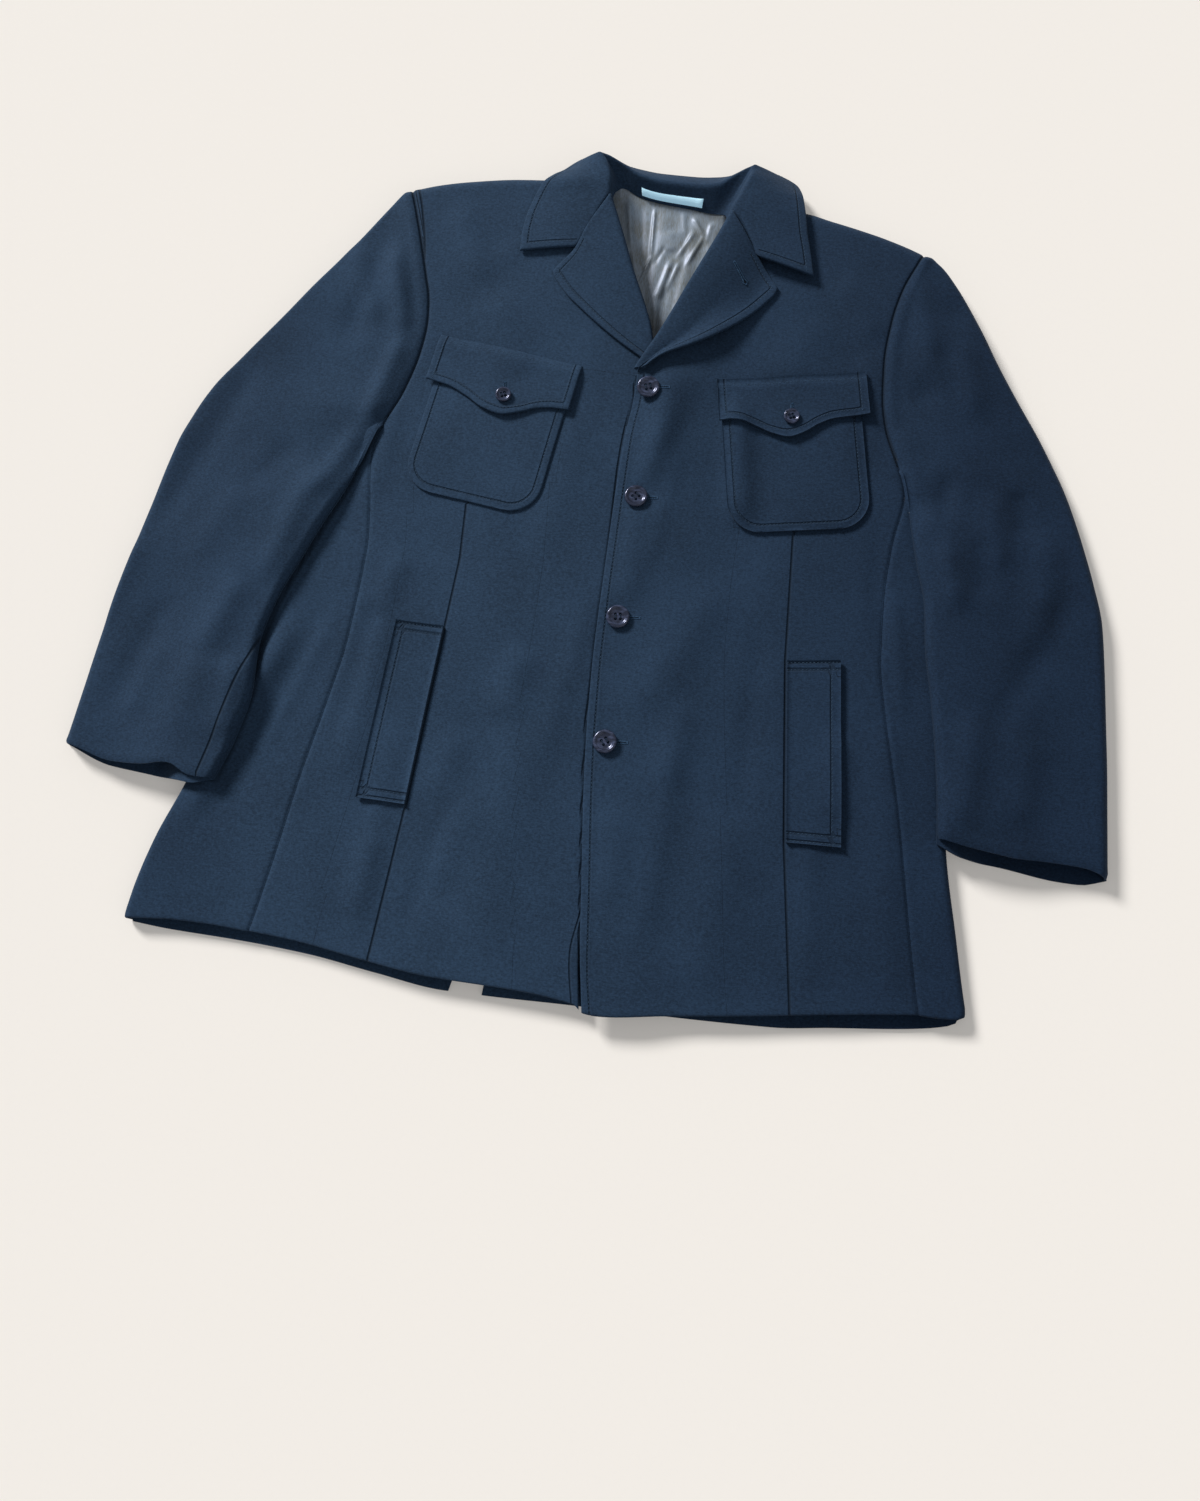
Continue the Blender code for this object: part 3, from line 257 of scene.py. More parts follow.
# Folds, then smaller creases, on the upper face of each sleeve: (x0, y0, x1, y1, width, height)
SLEEVE_FOLDS_RIGHT = [
    (-262, 300, -283, 172, 13, -2.5), (-366, 143, -428, -31, 15, -2.6), (-312, 64, -359, 12, 13, -1.8),
    (-396, -87, -434, -203, 15, -2.0), (-330, 60, -392, -60, 18, 2.2), (-350, -90, -372, -220, 18, 1.8),
    (-256, 272, -230, 179, 10, 4.4), (-230, 183, -252, 86, 10, 4.6), (-255, 87, -285, 15, 10, 3.4),
    (-295, 272, -261, 193, 12, 3.2), (-424, 81, -473, -1, 15, 3.0), (-337, -69, -355, -138, 13, 2.4),
    (-440, -40, -466, -118, 14, 2.2), (-286, 45, -315, -67, 12, 3.0), (-324, -139, -325, -211, 10, 2.6),
    (-400, -132, -415, -200, 13, 1.6)]
SLEEVE_FOLDS_LEFT = [
    (270, 269, 281, 216, 11, -2.2), (262, 215, 242, 154, 12, -2.2), (272, 95, 264, 10, 9, -2.6),
    (331, 83, 342, 42, 10, -2.2), (303, 33, 306, -19, 10, -1.8), (380, -7, 318, -140, 14, -2.6),
    (340, -90, 330, -215, 18, 2.0), (232, 286, 258, 175, 13, 4.6), (274, 245, 294, 148, 12, 3.0),
    (259, 60, 286, -34, 12, 5.0), (309, 77, 319, 10, 11, 2.4), (359, 47, 358, -62, 15, 3.8),
    (306, -120, 293, -225, 15, 3.6), (228, 132, 248, 65, 9, 2.0), (352, -134, 345, -208, 13, 2.0)]
SLEEVE_DEPTH = {-1: 1.4, 1: 1.15}      # how deep these are, right and left
CUFF_SEAM_RIGHT = [(-309, -118), (-325, -180), (-340, -244)]   # the sleeve seam that shows near the right cuff
REST_RISE = 30.0       # width over which the ground under a sleeve rises to the body

# Lapels: (y on the roll line, outer edge x, outer edge y, roll radius)
LAPEL_RIGHT = [
    (180, -9, 177.5, 2.75), (200, -32, 192, 2.9), (222, -52, 206.5, 3.2), (246, -70, 221, 3.6), (270, -85, 234, 4.0),
    (294, -95, 246, 4.3), (316, -100, 253, 4.5), (337, -101.5, 258, 4.6)]
LAPEL_LEFT = [
    (165, -3.5, 165.5, 2.75), (178, 10, 176.5, 2.8), (198, 35, 189.4, 2.9), (218, 55, 201.5, 3.2),
    (240, 73, 216, 3.6), (262, 88, 230.5, 4.0), (286, 98, 242, 4.3), (308, 105, 250.5, 4.5), (325, 107.8, 258, 4.6)]
NOTCH_DENT = {"right": 4.0, "left": 0.5}    # how far the end of each lapel curves in at the notch
ROLL_SEAM = 0.9        # between the foot of the roll and the front's edge
ROLL_FULL = {"right": 0.25, "left": 1.0}    # height of the roll beyond a round one
# Lift of the free edge of each lapel: (height, place on the roll line, reach)
LAPEL_LIFT = {"right": (1.6, 230.0, 60.0), "left": (8.5, 208.0, 52.0)}
GORGE_REACH = 2.8      # where the collar meets the lapels

# Collar from the right gorge round the neck to the left one:
# (leaf edge x, y, z, fold x, y, z, stand foot x, y, z, bow of the leaf)
COLLAR = [
    (-135, 275, 29, -84, 285.6, 29.2, -77, 300, 22, 1.0),
    (-135.5, 294, 29, -76.8, 305.6, 30.3, -67, 315, 22, 1.0),
    (-134, 313, 28.5, -68.4, 325, 31.2, -60, 328, 21, 1.0),
    (-130, 331, 28, -60.5, 342, 31.8, -55.5, 341, 20, 1.4),
    (-124, 348, 28.5, -58.5, 354, 31.5, -54.5, 350, 18, 2.2),
    (-116, 364, 20, -61, 367, 31.5, -52, 356, 14, 2.2),
    (-108, 376, 11, -66, 379, 31, -50, 360, 11, 1.8),
    (-91, 391, 7, -71.5, 386.5, 30, -47, 361.5, 9, 1.2),
    (-71, 394, 4, -64.5, 385, 28.5, -43.5, 361, 7.5, 1.0),
    (-52, 391, 3, -49, 377.5, 26, -39.5, 359, 6.4, 1.6),
    (-34, 388, 2.8, -33, 368.5, 23.5, -29.5, 354.5, 5.6, 2.0),
    (-12, 385, 2.8, -11, 364, 22, -11, 350, 6, 2.2),
    (20, 384, 2.8, 21, 363, 22, 20, 345.5, 6.8, 2.2),
    (42, 386, 2.8, 41, 365, 23, 36, 342.5, 7.4, 2.0),
    (60, 390, 3, 56, 374, 26, 43, 342, 8, 1.6),
    (80, 393, 4, 65, 380.5, 28, 47, 341.5, 9, 1.0),
    (98, 389, 7, 73.5, 385, 30.3, 50, 340.5, 10.5, 1.2),
    (119, 374.5, 13, 72.5, 374, 32, 52, 338.5, 12.5, 1.8),
    (124, 353, 25, 65.5, 352, 33.5, 53, 334.5, 15, 2.2),
    (127, 334, 29.5, 60.5, 334, 34, 53, 328, 19, 1.4),
    (130, 315, 30, 71, 319.5, 33, 62, 318, 21, 1.0),
    (134.5, 295, 30, 80, 303.5, 31.6, 71, 308, 22, 1.0),
    (139, 271, 30, 88, 286.5, 30.2, 80, 298, 22, 1.0)]
LEAF_COLUMNS = 27      # the other columns are the stand

# Woven label on the stand, as places in the COLLAR table and shares of the stand from the crest to the foot
LABEL_SPAN = (10.05, 12.45)
LABEL_DEPTH = (0.66, 0.9)
LABEL_LIFT = 1.05      # outer face of the label over the stand

# Lining seen in the neck: half width and length, soft pleats (x at the top, x at the bottom, width, height)
LINING_HALF = 62.0
LINING_LOW = 160.0
LINING_PLEATS = [
    (-44, -30, 5, 2.2), (-30, -18, 4, 1.4), (-8, -4, 7, 2.6), (12, 6, 4, 1.2), (24, 14, 6, 2.4), (46, 30, 5, 1.8)]
# Its creases: (x0, y0, x1, y1, width, height)
LINING_CREASES = [
    (-42, 352, -33, 300, 3.2, 3.4), (-33, 300, -22, 250, 3.0, 2.6), (-30, 350, -24, 290, 4.0, -1.6),
    (-16, 346, -14, 292, 1.7, 1.8), (-14, 292, -22, 262, 1.5, 2.2), (-22, 262, -12, 224, 2.4, 1.8),
    (2, 322, 6, 300, 6.5, 2.2), (-2, 304, -10, 286, 2.2, -1.4), (6, 292, -4, 246, 3.4, 2.8),
    (-4, 246, -2, 214, 3.0, 2.0), (22, 338, 34, 318, 2.2, 1.4), (24, 322, 12, 296, 2.2, 1.6),
    (34, 320, 20, 286, 2.0, 1.3), (12, 344, 16, 318, 2.6, 1.0), (14, 290, 4, 258, 2.4, 1.4),
    (-36, 330, -30, 306, 2.2, -1.8), (-28, 268, -14, 232, 3.0, -1.2), (40, 334, 36, 312, 2.6, 1.2)]

# Flaps: corner at the seam, slope in degrees, width; lower edge (distance along, depth)
FLAP = {"right": (-197.0, 185.0, -8.4, 136.5), "left": (61.0, 162.0, 9.0, 133.7)}
FLAP_EDGE_RIGHT = [
    (0, 46.5), (22, 48.5), (42, 55), (60, 63), (76, 65.5), (92, 60), (108, 51.5), (122, 47.8), (136.5, 46.5)]
FLAP_EDGE_LEFT = [
    (0, 41.5), (16, 42.8), (32, 48), (47, 55.5), (61, 59.5), (74, 56), (88, 48.5), (102, 44), (133.7, 41.5)]
# Pockets in the flap's frame: start along, width, top depth, bottom depth, corner radius
POCKET = {"right": (7.5, 125.5, 12.0, 151.0, 28.0), "left": (2.5, 124.0, 12.0, 146.0, 28.0)}
# Welts: top inner, top outer, bottom inner, bottom outer corners
WELT = {"right": ((-152, -91), (-194, -90), (-161, -248), (-203, -247)),
        "left": ((146, -90), (191, -85), (158, -243), (203, -242))}

# Buttons: (x, y) on the left front with their tilts; (x, y) on the flaps
FRONT_BUTTONS = [(0.9, 145.8), (1.4, 42.8), (-1.6, -67.8), (0.4, -177.0)]
FRONT_TILTS = [(0.05, -0.03, 0.3), (-0.04, 0.03, 0.9), (0.03, 0.05, 0.1), (-0.02, -0.05, 0.6)]
FLAP_BUTTONS = {"right": (-129.3, 127.5), "left": (130.7, 132.0)}
FLAP_TILT = (0.04, 0.03, 0.4)
LAPEL_HOLE = ((66, 275), (78, 258))
# Turned outline of a button: (share of the radius, share of the thickness)
BUTTON_TURN = [
    (0.0, 0.0), (0.80, 0.0), (0.93, 0.10), (0.985, 0.26), (1.0, 0.45), (0.99, 0.66), (0.955, 0.85), (0.90, 0.96),
    (0.84, 1.0), (0.78, 0.97), (0.73, 0.88), (0.69, 0.74), (0.64, 0.63), (0.56, 0.585), (0.40, 0.575), (0.2, 0.58),
    (0.0, 0.58)]
HOLE_TURN = [(0, 0), (1.25, 0), (1.0, 0.3), (1.0, 0.66), (1.5, 1.0), (0, 1.0)]

# Light: world strength; name, place, spread in degrees, power, tint
WORLD_LIGHT = 0.28
LIGHTS = [("key", (-0.85, 0.78, 0.68), 15.0, 4.1, (1.0, 0.99, 0.97)),
          ("fill", (0.9, -0.9, 1.2), 60.0, 0.3, (0.94, 0.97, 1.0))]
FLOOR_LOW = (0.695, 0.663, 0.625, 1.0)
FLOOR_HIGH = (0.705, 0.672, 0.634, 1.0)
FLOOR_GLOW = 0.27

level = curve(LEVEL)
top_line = curve(TOP_LINE)
hem_front = curve(HEM_FRONT)
hem_back = curve(HEM_BACK)
right_fold = curve(RIGHT_FOLD)
right_under = curve(RIGHT_FOLD, 0, 2)
left_fold = curve(LEFT_FOLD)
left_under = curve(LEFT_FOLD, 0, 2)


# ---------------------------------------------------------------- surfaces
def fold_relief(x, y, folds):
    """Soft ridges (height above 0) and troughs (below 0) along short lines."""
    total = np.zeros(np.broadcast(x, y).shape)
    for x0, y0, x1, y1, width, height in folds:
        dx, dy = x1 - x0, y1 - y0
        length = math.hypot(dx, dy)
        along = ((x - x0) * dx + (y - y0) * dy) / length ** 2
        across = ((x - x0) * dy - (y - y0) * dx) / length
        fade = ease(along / 0.3 + 0.3) * ease((1 - along) / 0.3 + 0.3)
        total = total + height * np.exp(-(across / width) ** 2) * fade
    return total


def waves(x, y):
    total = 0.0
    for rate, turn, start, high in WAVES:
        u = x * math.cos(turn) + y * math.sin(turn)
        v = -x * math.sin(turn) + y * math.cos(turn)
        total = total + high * np.sin(rate * u + start + 1.3 * np.sin(rate * 0.6 * v + turn))
    return total


def body_height(x, y):
    """Outer face of the upper layer, before the shoulder edge turns down."""
    crown = 2.5 * (1 - np.clip(np.abs(x) / 260.0, 0, 1) ** 2)
    folds = BODY_DEPTH * fold_relief(x, y, BODY_FOLDS) + FINE_DEPTH * fold_relief(x, y, FINE_FOLDS)
    return level(y) + crown + folds + waves(x, y)


def top_height(x, y):
    turn = edge_round(top_line(x) - y, SHOULDER_ROUND)
    return FLOOR_LAYER + (body_height(x, y) - FLOOR_LAYER) * turn


def lap_height(x, y):
    """Outer face of the left front, lifted where it lies on the right one and its lapel."""
    lift = OVERLAP_LIFT * ease((OVERLAP_END + OVERLAP_FADE - x) / OVERLAP_FADE)
    lift = lift + 4.2 * np.exp(-((x - 3.0) ** 2 + (y - 188.0) ** 2) / 30.0 ** 2)
    return top_height(x, y) + lift * edge_round(top_line(x) - y, SHOULDER_ROUND)


def levelled(x, y, hem, shoulder, high):
    """Moves straight rows onto the hem and shoulder lines."""
    near_hem = np.clip(1 - (y - LOW) / 120.0, 0, 1) ** 2
    near_top = np.clip(1 - (high - y) / 100.0, 0, 1) ** 2
    return y + (hem(x) - LOW) * near_hem + (shoulder(x) - high) * near_top


def back_shift(x, y):
    """Rows of the back, whose neck dips below the shoulder line between the collar ends."""
    return levelled(x, y, hem_back, lambda q: top_line(q) - 8.0 * (1 - np.clip(np.abs(q) / 70.0, 0, 1) ** 2), BACK_TOP)


def back_arm_line(sign):
    """Back armhole after levelling, as x over y."""
    nominal = np.linspace(76, BACK_TOP, 60)
    x = curve(BACK_ARM_RIGHT if sign < 0 else BACK_ARM_LEFT)(nominal)
    y = back_shift(x, nominal)
    return lambda q: float(np.interp(q, y, x))


def rest_height(x, y, sign):
    """Surface the sleeve lies on: the floor, then the side of the body."""
    out = right_fold(y) - x if sign < 0 else x - left_fold(y)
    rise = 1 - ease((out - 3.0) / REST_RISE)
    return (body_height(x, y) + 1.4) * rise * ease((112.0 - y) / 24.0)


def cells(rows, cols):
    """Quads between the points of a grid."""
    r, c = np.meshgrid(np.arange(rows - 1), np.arange(cols - 1), indexing="ij")
    a = (r * cols + c).ravel()
    return np.stack([a, a + 1, a + cols + 1, a + cols], axis=1)


def surface_of(grid):
    """Height of a faceted sheet under a point, or below 0 where there is none."""
    grid = np.asarray(grid, float)
    tris = cells(*grid.shape[:2])[:, [0, 1, 2, 0, 2, 3]].reshape(-1, 3).tolist()
    tree = BVHTree.FromPolygons([tuple(v) for v in grid.reshape(-1, 3)], tris)

    def height(x, y, reach=0.0):
        best = -1.0
        for dx, dy in ((0, 0), (reach, 0), (-reach, 0), (0, reach), (0, -reach)):
            hit = tree.ray_cast((x + dx, y + dy, 300.0), (0, 0, -1))
            if hit[0] is not None:
                best = max(best, hit[0].z)
        return best
    return height


# ---------------------------------------------------------------- materials
class Looks:
    """One material's node tree, with short ways to add nodes to it."""

    def __init__(self, name):
        self.material = bpy.data.materials.new(name)
        self.material.use_nodes = True
        self.tree = self.material.node_tree
        self.coords = self.node("ShaderNodeTexCoord").outputs["Object"]

    def feed(self, socket, value):
        if isinstance(value, (int, float, tuple)):
            socket.default_value = value
        else:
            self.tree.links.new(value, socket)

    def node(self, kind, inputs={}, **settings):
        made = self.tree.nodes.new(kind)
        for key, value in settings.items():
            setattr(made, key, value)
        for key, value in inputs.items():
            self.feed(made.inputs[key], value)
        return made

    def math(self, operation, a, b=None):
        values = {0: a} if b is None else {0: a, 1: b}
        return self.node("ShaderNodeMath", values, operation=operation).outputs[0]

    def total(self, *pairs):
        """Sum of values, each times its share."""
        parts = [value if share == 1.0 else self.math("MULTIPLY", value, share) for value, share in pairs]
        made = parts[0]
        for part in parts[1:]:
            made = self.math("ADD", made, part)
        return made

    def mix(self, factor, a, b, blend="MIX"):
        made = self.node("ShaderNodeMix", data_type="RGBA", blend_type=blend)
        for k, value in ((0, factor), (6, a), (7, b)):
            self.feed(made.inputs[k], value)
        return made.outputs[2]

    def noise(self, scale, detail=2.0, rough=0.5, stretch=None, turn=0.0):
        coords = self.coords
        if stretch:
            coords = self.node("ShaderNodeMapping", {"Vector": coords, "Scale": stretch, "Rotation": (0, 0, turn)})
            coords = coords.outputs["Vector"]
        values = {"Scale": scale, "Detail": detail, "Roughness": rough, "Vector": coords}
        return self.node("ShaderNodeTexNoise", values).outputs["Fac"]

    def steps(self, value, low, high, to_low=0.0, to_high=1.0):
        values = {"Value": value, "From Min": low, "From Max": high, "To Min": to_low, "To Max": to_high}
        return self.node("ShaderNodeMapRange", values, interpolation_type="SMOOTHSTEP").outputs["Result"]

    def attribute(self, name):
        return self.node("ShaderNodeAttribute", attribute_name=name).outputs["Fac"]

    def line(self, name, half):
        """1 on the line, 0 beyond half, from a signed distance in millimetres."""
        return self.steps(self.math("ABSOLUTE", self.attribute(name)), 0.0, half, 1.0, 0.0)

    def bump(self, height, distance, strength=1.0, under=None):
        values = {"Strength": strength, "Distance": distance, "Height": height}
        if under is not None:
            values["Normal"] = under
        return self.node("ShaderNodeBump", values).outputs["Normal"]

    def done(self, **values):
        """Sets the shader's sockets, named with _ for spaces."""
        shader = self.tree.nodes["Principled BSDF"]
        for key, value in values.items():
            self.feed(shader.inputs[key.replace("_", " ")], value)
        return self.material


def shade(colour, *shares):
    """A colour made lighter or darker, by one share or by one for each channel."""
    return tuple(min(1.0, c * f) for c, f in zip(colour, shares * 3)) + (1.0,)


# Painted shade: the cloth is darkened towards the wearer's left, where the light falls off, and on the outer part of
# the right sleeve
PAINTED_SHADE_TINT = (0.36, 0.42, 0.50, 1.0)


def painted_shade_share(x):
    """Share of painted shade at a place, which every shell carries as a point attribute."""
    return np.clip(0.27 + 0.0022 * x, 0.08, 0.92) + 0.28 * ease((-x - 270.0) / 90.0)


def wool_material(name, colour, turn):
    m = Looks(name)
    melange = m.noise(460.0, 3.0, 0.75)
    twill = m.noise(1.0, 2.0, 0.6, (260.0, 1300.0, 900.0), turn)
    blend = m.total((melange, 0.5), (twill, 0.3), (m.noise(14.0, 3.0, 0.55), 0.2))
    base = m.mix(m.steps(blend, 0.32, 0.68), shade(colour, 0.62), shade(colour, 1.38))
    hairs = m.math("MAXIMUM", m.steps(m.noise(1.0, 1.0, 0.5, (300.0, 900.0, 500.0), -0.5), 0.72, 0.8),
                   m.steps(m.noise(1.0, 1.0, 0.5, (900.0, 260.0, 500.0), 0.3), 0.73, 0.81))
    fleck = (colour[0] * 2.2 + 0.01, colour[1] * 2.1 + 0.012, colour[2] * 1.9 + 0.016, 1.0)
    base = m.mix(m.math("MULTIPLY", hairs, 0.3), base, fleck)
    # painted shade multiplied into the colour, by the share each point carries
    base = m.mix(m.attribute("painted_shade"), base, PAINTED_SHADE_TINT, "MULTIPLY")
    # dark seam and stitch lines; the seam attribute also carries painted contact shade beside the left front's edge
    # and close under the right sleeve's free edge
    seam, row, near_row = m.line("seam", 1.7), m.line("row", 1.4), m.line("row", 4.0)
    dark_seams_and_shade = m.math("MAXIMUM", m.math("MULTIPLY", seam, 0.8), m.math("MULTIPLY", row, 0.5))
    pucker = m.math("MULTIPLY", m.noise(210.0, 2.0, 0.5), near_row)
    grooves = m.bump(m.total((seam, -1.0), (row, -0.9), (pucker, 0.35)), 0.0011)
    return m.done(
        Base_Color=m.mix(dark_seams_and_shade, base, shade(colour, 0.3)),
        Normal=m.bump(m.total((melange, 0.6), (twill, 0.55)), 0.00045, 0.75, grooves),
        Roughness=0.88, Specular_IOR_Level=0.12,
        Sheen_Weight=0.09, Sheen_Roughness=0.4, Sheen_Tint=(0.40, 0.52, 0.70, 1.0))


def two_tone(name, colour, dark, light, edges, *layers, relief=None, **values):
    """Two shades of one colour, mixed by layers of noise: (share, then what noise() takes)."""
    m = Looks(name)
    pattern = m.total(*[(m.noise(*layer[1:]), layer[0]) for layer in layers])
    tones = m.mix(m.steps(pattern, *edges), shade(colour, *dark), shade(colour, *light))
    if relief:
        *own, distance, strength = relief
        values["Normal"] = m.bump(m.noise(*own) if own else pattern, distance, strength)
    return m.done(Base_Color=tones, **values)


def thread_material(name, colour):
    return two_tone(name, colour, (0.6,), (1.4,), (0.35, 0.65), (1.0, 2600.0, 1.0),
                    Roughness=0.7, Specular_IOR_Level=0.3, Specular_Tint=(0.4, 0.6, 1.0, 1.0))


NAVY = (0.0212, 0.0438, 0.0818)
M_WOOL = wool_material("wool_navy", NAVY, 0.75)
M_WOOL_CROSS = wool_material("wool_navy_cross", NAVY, 2.2)
M_SATIN = two_tone(
    "lining_satin", (0.208, 0.240, 0.258), (0.72, 0.66, 0.56), (1.16, 1.24, 1.42), (0.38, 0.62),
    (0.6, 1.0, 3.0, 0.6, (2600.0, 160.0, 900.0), 0.06), (0.4, 40.0, 3.0, 0.5), relief=(0.0002, 0.35),
    Roughness=0.42, Specular_IOR_Level=0.6, Specular_Tint=(0.70, 0.76, 1.0, 1.0),
    Sheen_Weight=0.2, Sheen_Roughness=0.35, Sheen_Tint=(0.55, 0.60, 0.95, 1.0))
# the label glows a little: painted light that lifts it out of the shade of the stand
M_LABEL = two_tone(
    "label_woven", (0.55, 0.83, 1.0), (0.86,), (1.12,), (0.35, 0.65),
    (0.5, 1.0, 2.0, 0.5, (3000.0, 700.0, 900.0), -0.17), (0.5, 1.0, 2.0, 0.5, (700.0, 3000.0, 900.0), -0.17),
    relief=(0.0004, 0.6), Roughness=0.55, Sheen_Weight=0.2,
    Emission_Color=(0.42, 0.74, 1.0, 1.0), Emission_Strength=0.3)
M_RESIN = two_tone(
    "button_resin", (0.0270, 0.0340, 0.0560), (0.6,), (2.0,), (0.42, 0.68),
    (1.0, 160.0, 4.0, 0.6, (1.0, 2.6, 1.0), 0.9), relief=(900.0, 2.0, 0.0001, 0.3),
    Roughness=0.24, Specular_IOR_Level=0.5, Specular_Tint=(0.62, 0.68, 1.0, 1.0),
    Coat_Weight=0.5, Coat_Roughness=0.16, Coat_Tint=(0.75, 0.8, 1.0, 1.0))
M_THREAD = thread_material("thread_navy", (0.042, 0.078, 0.125))
M_THREAD_DEEP = thread_material("thread_deep", (0.012, 0.020, 0.036))
M_THREAD_HOLE = thread_material("thread_hole", (0.030, 0.066, 0.122))
M_SLIT_SHADE = thread_material("slit_painted_shade", (0.003, 0.005, 0.009))


# ---------------------------------------------------------------- meshes
def normals(grid):
    n = np.cross(np.gradient(grid, axis=1), np.gradient(grid, axis=0))
    return n / np.maximum(np.linalg.norm(n, axis=2, keepdims=True), 1e-9)


def run_from(grid, edge):
    """Distance over the cloth from one edge: r0, r1, c0 or c1."""
    g = grid if edge[0] == "r" else grid.transpose(1, 0, 2)
    g = g[::-1] if edge[1] == "1" else g
    d = np.concatenate([np.zeros((1, g.shape[1])), np.cumsum(np.linalg.norm(np.diff(g, axis=0), axis=2), axis=0)])
    d = d[::-1] if edge[1] == "1" else d
    return d if edge[0] == "r" else d.T


def nearest(grid, edges):
    """Distance over the cloth from the nearest of some edges."""
    return np.min([run_from(grid, edge) for edge in edges.split()], axis=0)


def dressed_edges(grid, side, free, sewn, masks):
    """Rounds the free edges and sinks the sewn ones."""
    drop = np.zeros(grid.shape[:2])
    for edge in (free + " " + sewn).split():
        d = run_from(grid, edge)
        if edge in free:
            e = 1.0 - edge_round(d, EDGE_ROUND) - 0.28 * np.exp(-((d - 3.6) / 2.2) ** 2)
        else:
            e = 1.1 * np.exp(-(d / 1.7) ** 2)
        drop = drop + e * masks.get(edge, 1.0)
    return grid - side * normals(grid) * drop[..., None]


def put(name, verts, faces, mat, smooth_angle=60.0, attributes={}):
    mesh = bpy.data.meshes.new(name)
    mesh.from_pydata((np.asarray(verts, float) * MM).tolist(), [], faces)
    for key, values in attributes.items():
        layer = mesh.attributes.new(key, "FLOAT", "POINT")
        layer.data.foreach_set("value", np.asarray(values, np.float32))
    work = bmesh.new()
    work.from_mesh(mesh)
    bmesh.ops.recalc_face_normals(work, faces=work.faces)
    work.to_mesh(mesh)
    work.free()
    mesh.polygons.foreach_set("use_smooth", [True] * len(mesh.polygons))
    mesh.set_sharp_from_angle(angle=math.radians(smooth_angle))
    mesh.materials.append(mat)
    obj = bpy.data.objects.new(name, mesh)
    bpy.context.scene.collection.objects.link(obj)
    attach(obj, "root")
    return obj


def shell(name, grid, thickness, side, cad, mat=M_WOOL, direction=None, free="", sewn="", masks={},
          seam=None, row=None):
    """Closed wall of cloth over a grid of outer points, which stands for CAD nodes."""
    rows, cols = grid.shape[:2]
    if direction is None:
        inner = grid - side * thickness * normals(grid)
    else:
        inner = grid + np.array(direction, float) * thickness
    outer = dressed_edges(grid, side, free, sewn, masks)
    verts = np.concatenate([outer.reshape(-1, 3), inner.reshape(-1, 3)])
    base = rows * cols
    top = cells(rows, cols)
    faces = top.tolist() + (top[:, ::-1] + base).tolist()
    index = np.arange(base).reshape(rows, cols)
    ring = np.concatenate([index[0], index[1:, -1], index[-1, -2::-1], index[-2:0:-1, 0]]).tolist()
    faces += [(v, v + base, w + base, w) for v, w in zip(ring, ring[1:] + ring[:1])]
    far = np.full(base, FAR)
    attributes = {key: np.concatenate([far if values is None else values.ravel(), far])
                  for key, values in (("seam", seam), ("row", row))}
    obj = put(name, verts, faces, mat, 45.0, {**attributes, "painted_shade": painted_shade_share(verts[:, 0])})
    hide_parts(*([cad] if isinstance(cad, str) else cad))
    return outer


def spread(width, first, count, last):
    """Distances over a width: close together at both ends."""
    first = np.array(first, float)
    last = np.array(last, float)
    fit = min(1.0, width / (first[-1] + last[-1] + 0.2 * width))
    first, last = first * fit, last * fit
    middle = np.linspace(first[-1], width - last[-1], count + 2)[1:-1]
    return np.concatenate([first, middle, width - last[::-1]])


FINE = (0, 0.35, 0.8, 1.4, 2.4, 4.2)


def distance_to(points, xs, ys):
    """Signed distance in plan from a line through points, plus to its right."""
    best = np.full(np.shape(xs), FAR)
    for (x0, y0), (x1, y1) in zip(points[:-1], points[1:]):
        dx, dy = x1 - x0, y1 - y0
        size = math.hypot(dx, dy)
        t = ((xs - x0) * dx + (ys - y0) * dy) / size ** 2
        off = ((xs - x0) * dy - (ys - y0) * dx) / size
        past = np.maximum(np.maximum(-t, t - 1), 0) * size
        best = nearer(np.sign(off) * np.hypot(off, past), best)
    return best


def nearer(a, b):
    return np.where(np.abs(a) < np.abs(b), a, b)


def tube(verts, faces, centres, across, up, radii, sides, caps=True):
    """Adds a thread round a row of centres."""
    base = len(verts)
    ring = [(math.cos(a), math.sin(a)) for a in np.linspace(0, 2 * math.pi, sides + 1)[:-1]]
    for centre, radius in zip(centres, radii):
        verts.extend(centre + (across * c + up * s) * radius for c, s in ring)
    for start in range(base, len(verts) - sides, sides):
        for k in range(sides):
            i, j = start + k, start + (k + 1) % sides
            faces.append((i, j, j + sides, i + sides))
    if caps:
        faces.append(tuple(range(base + sides - 1, base - 1, -1)))
        faces.append(tuple(range(len(verts) - sides, len(verts))))


def stitches(name, runs):
    """Short threads lying along runs of points."""
    verts, faces = [], []
    for run in runs:
        run = np.asarray(run, float)
        d = lengths(run)
        for k in range(int(d[-1] / STITCH_PITCH)):
            start = k * STITCH_PITCH + rng.uniform(0, 0.25)
            p = point_at(start, d, run)
            q = point_at(start + STITCH_LENGTH, d, run)
            along = unit(q - p)
            across = unit(np.cross(along, (0, 0, 1.0)))
            up = np.cross(across, along)
            stations = (0.0, 0.16, 0.5, 0.84, 1.0)
            centres = [p + (q - p) * t + up * (STITCH_LIFT + STITCH_RADIUS * (0.75 * math.sin(math.pi * t) - 0.25))
                       for t in stations]
            tube(verts, faces, centres, across, up, [STITCH_RADIUS * w for w in (0.25, 0.9, 1.0, 0.9, 0.25)], 5)
    put(name, verts, faces, M_THREAD)


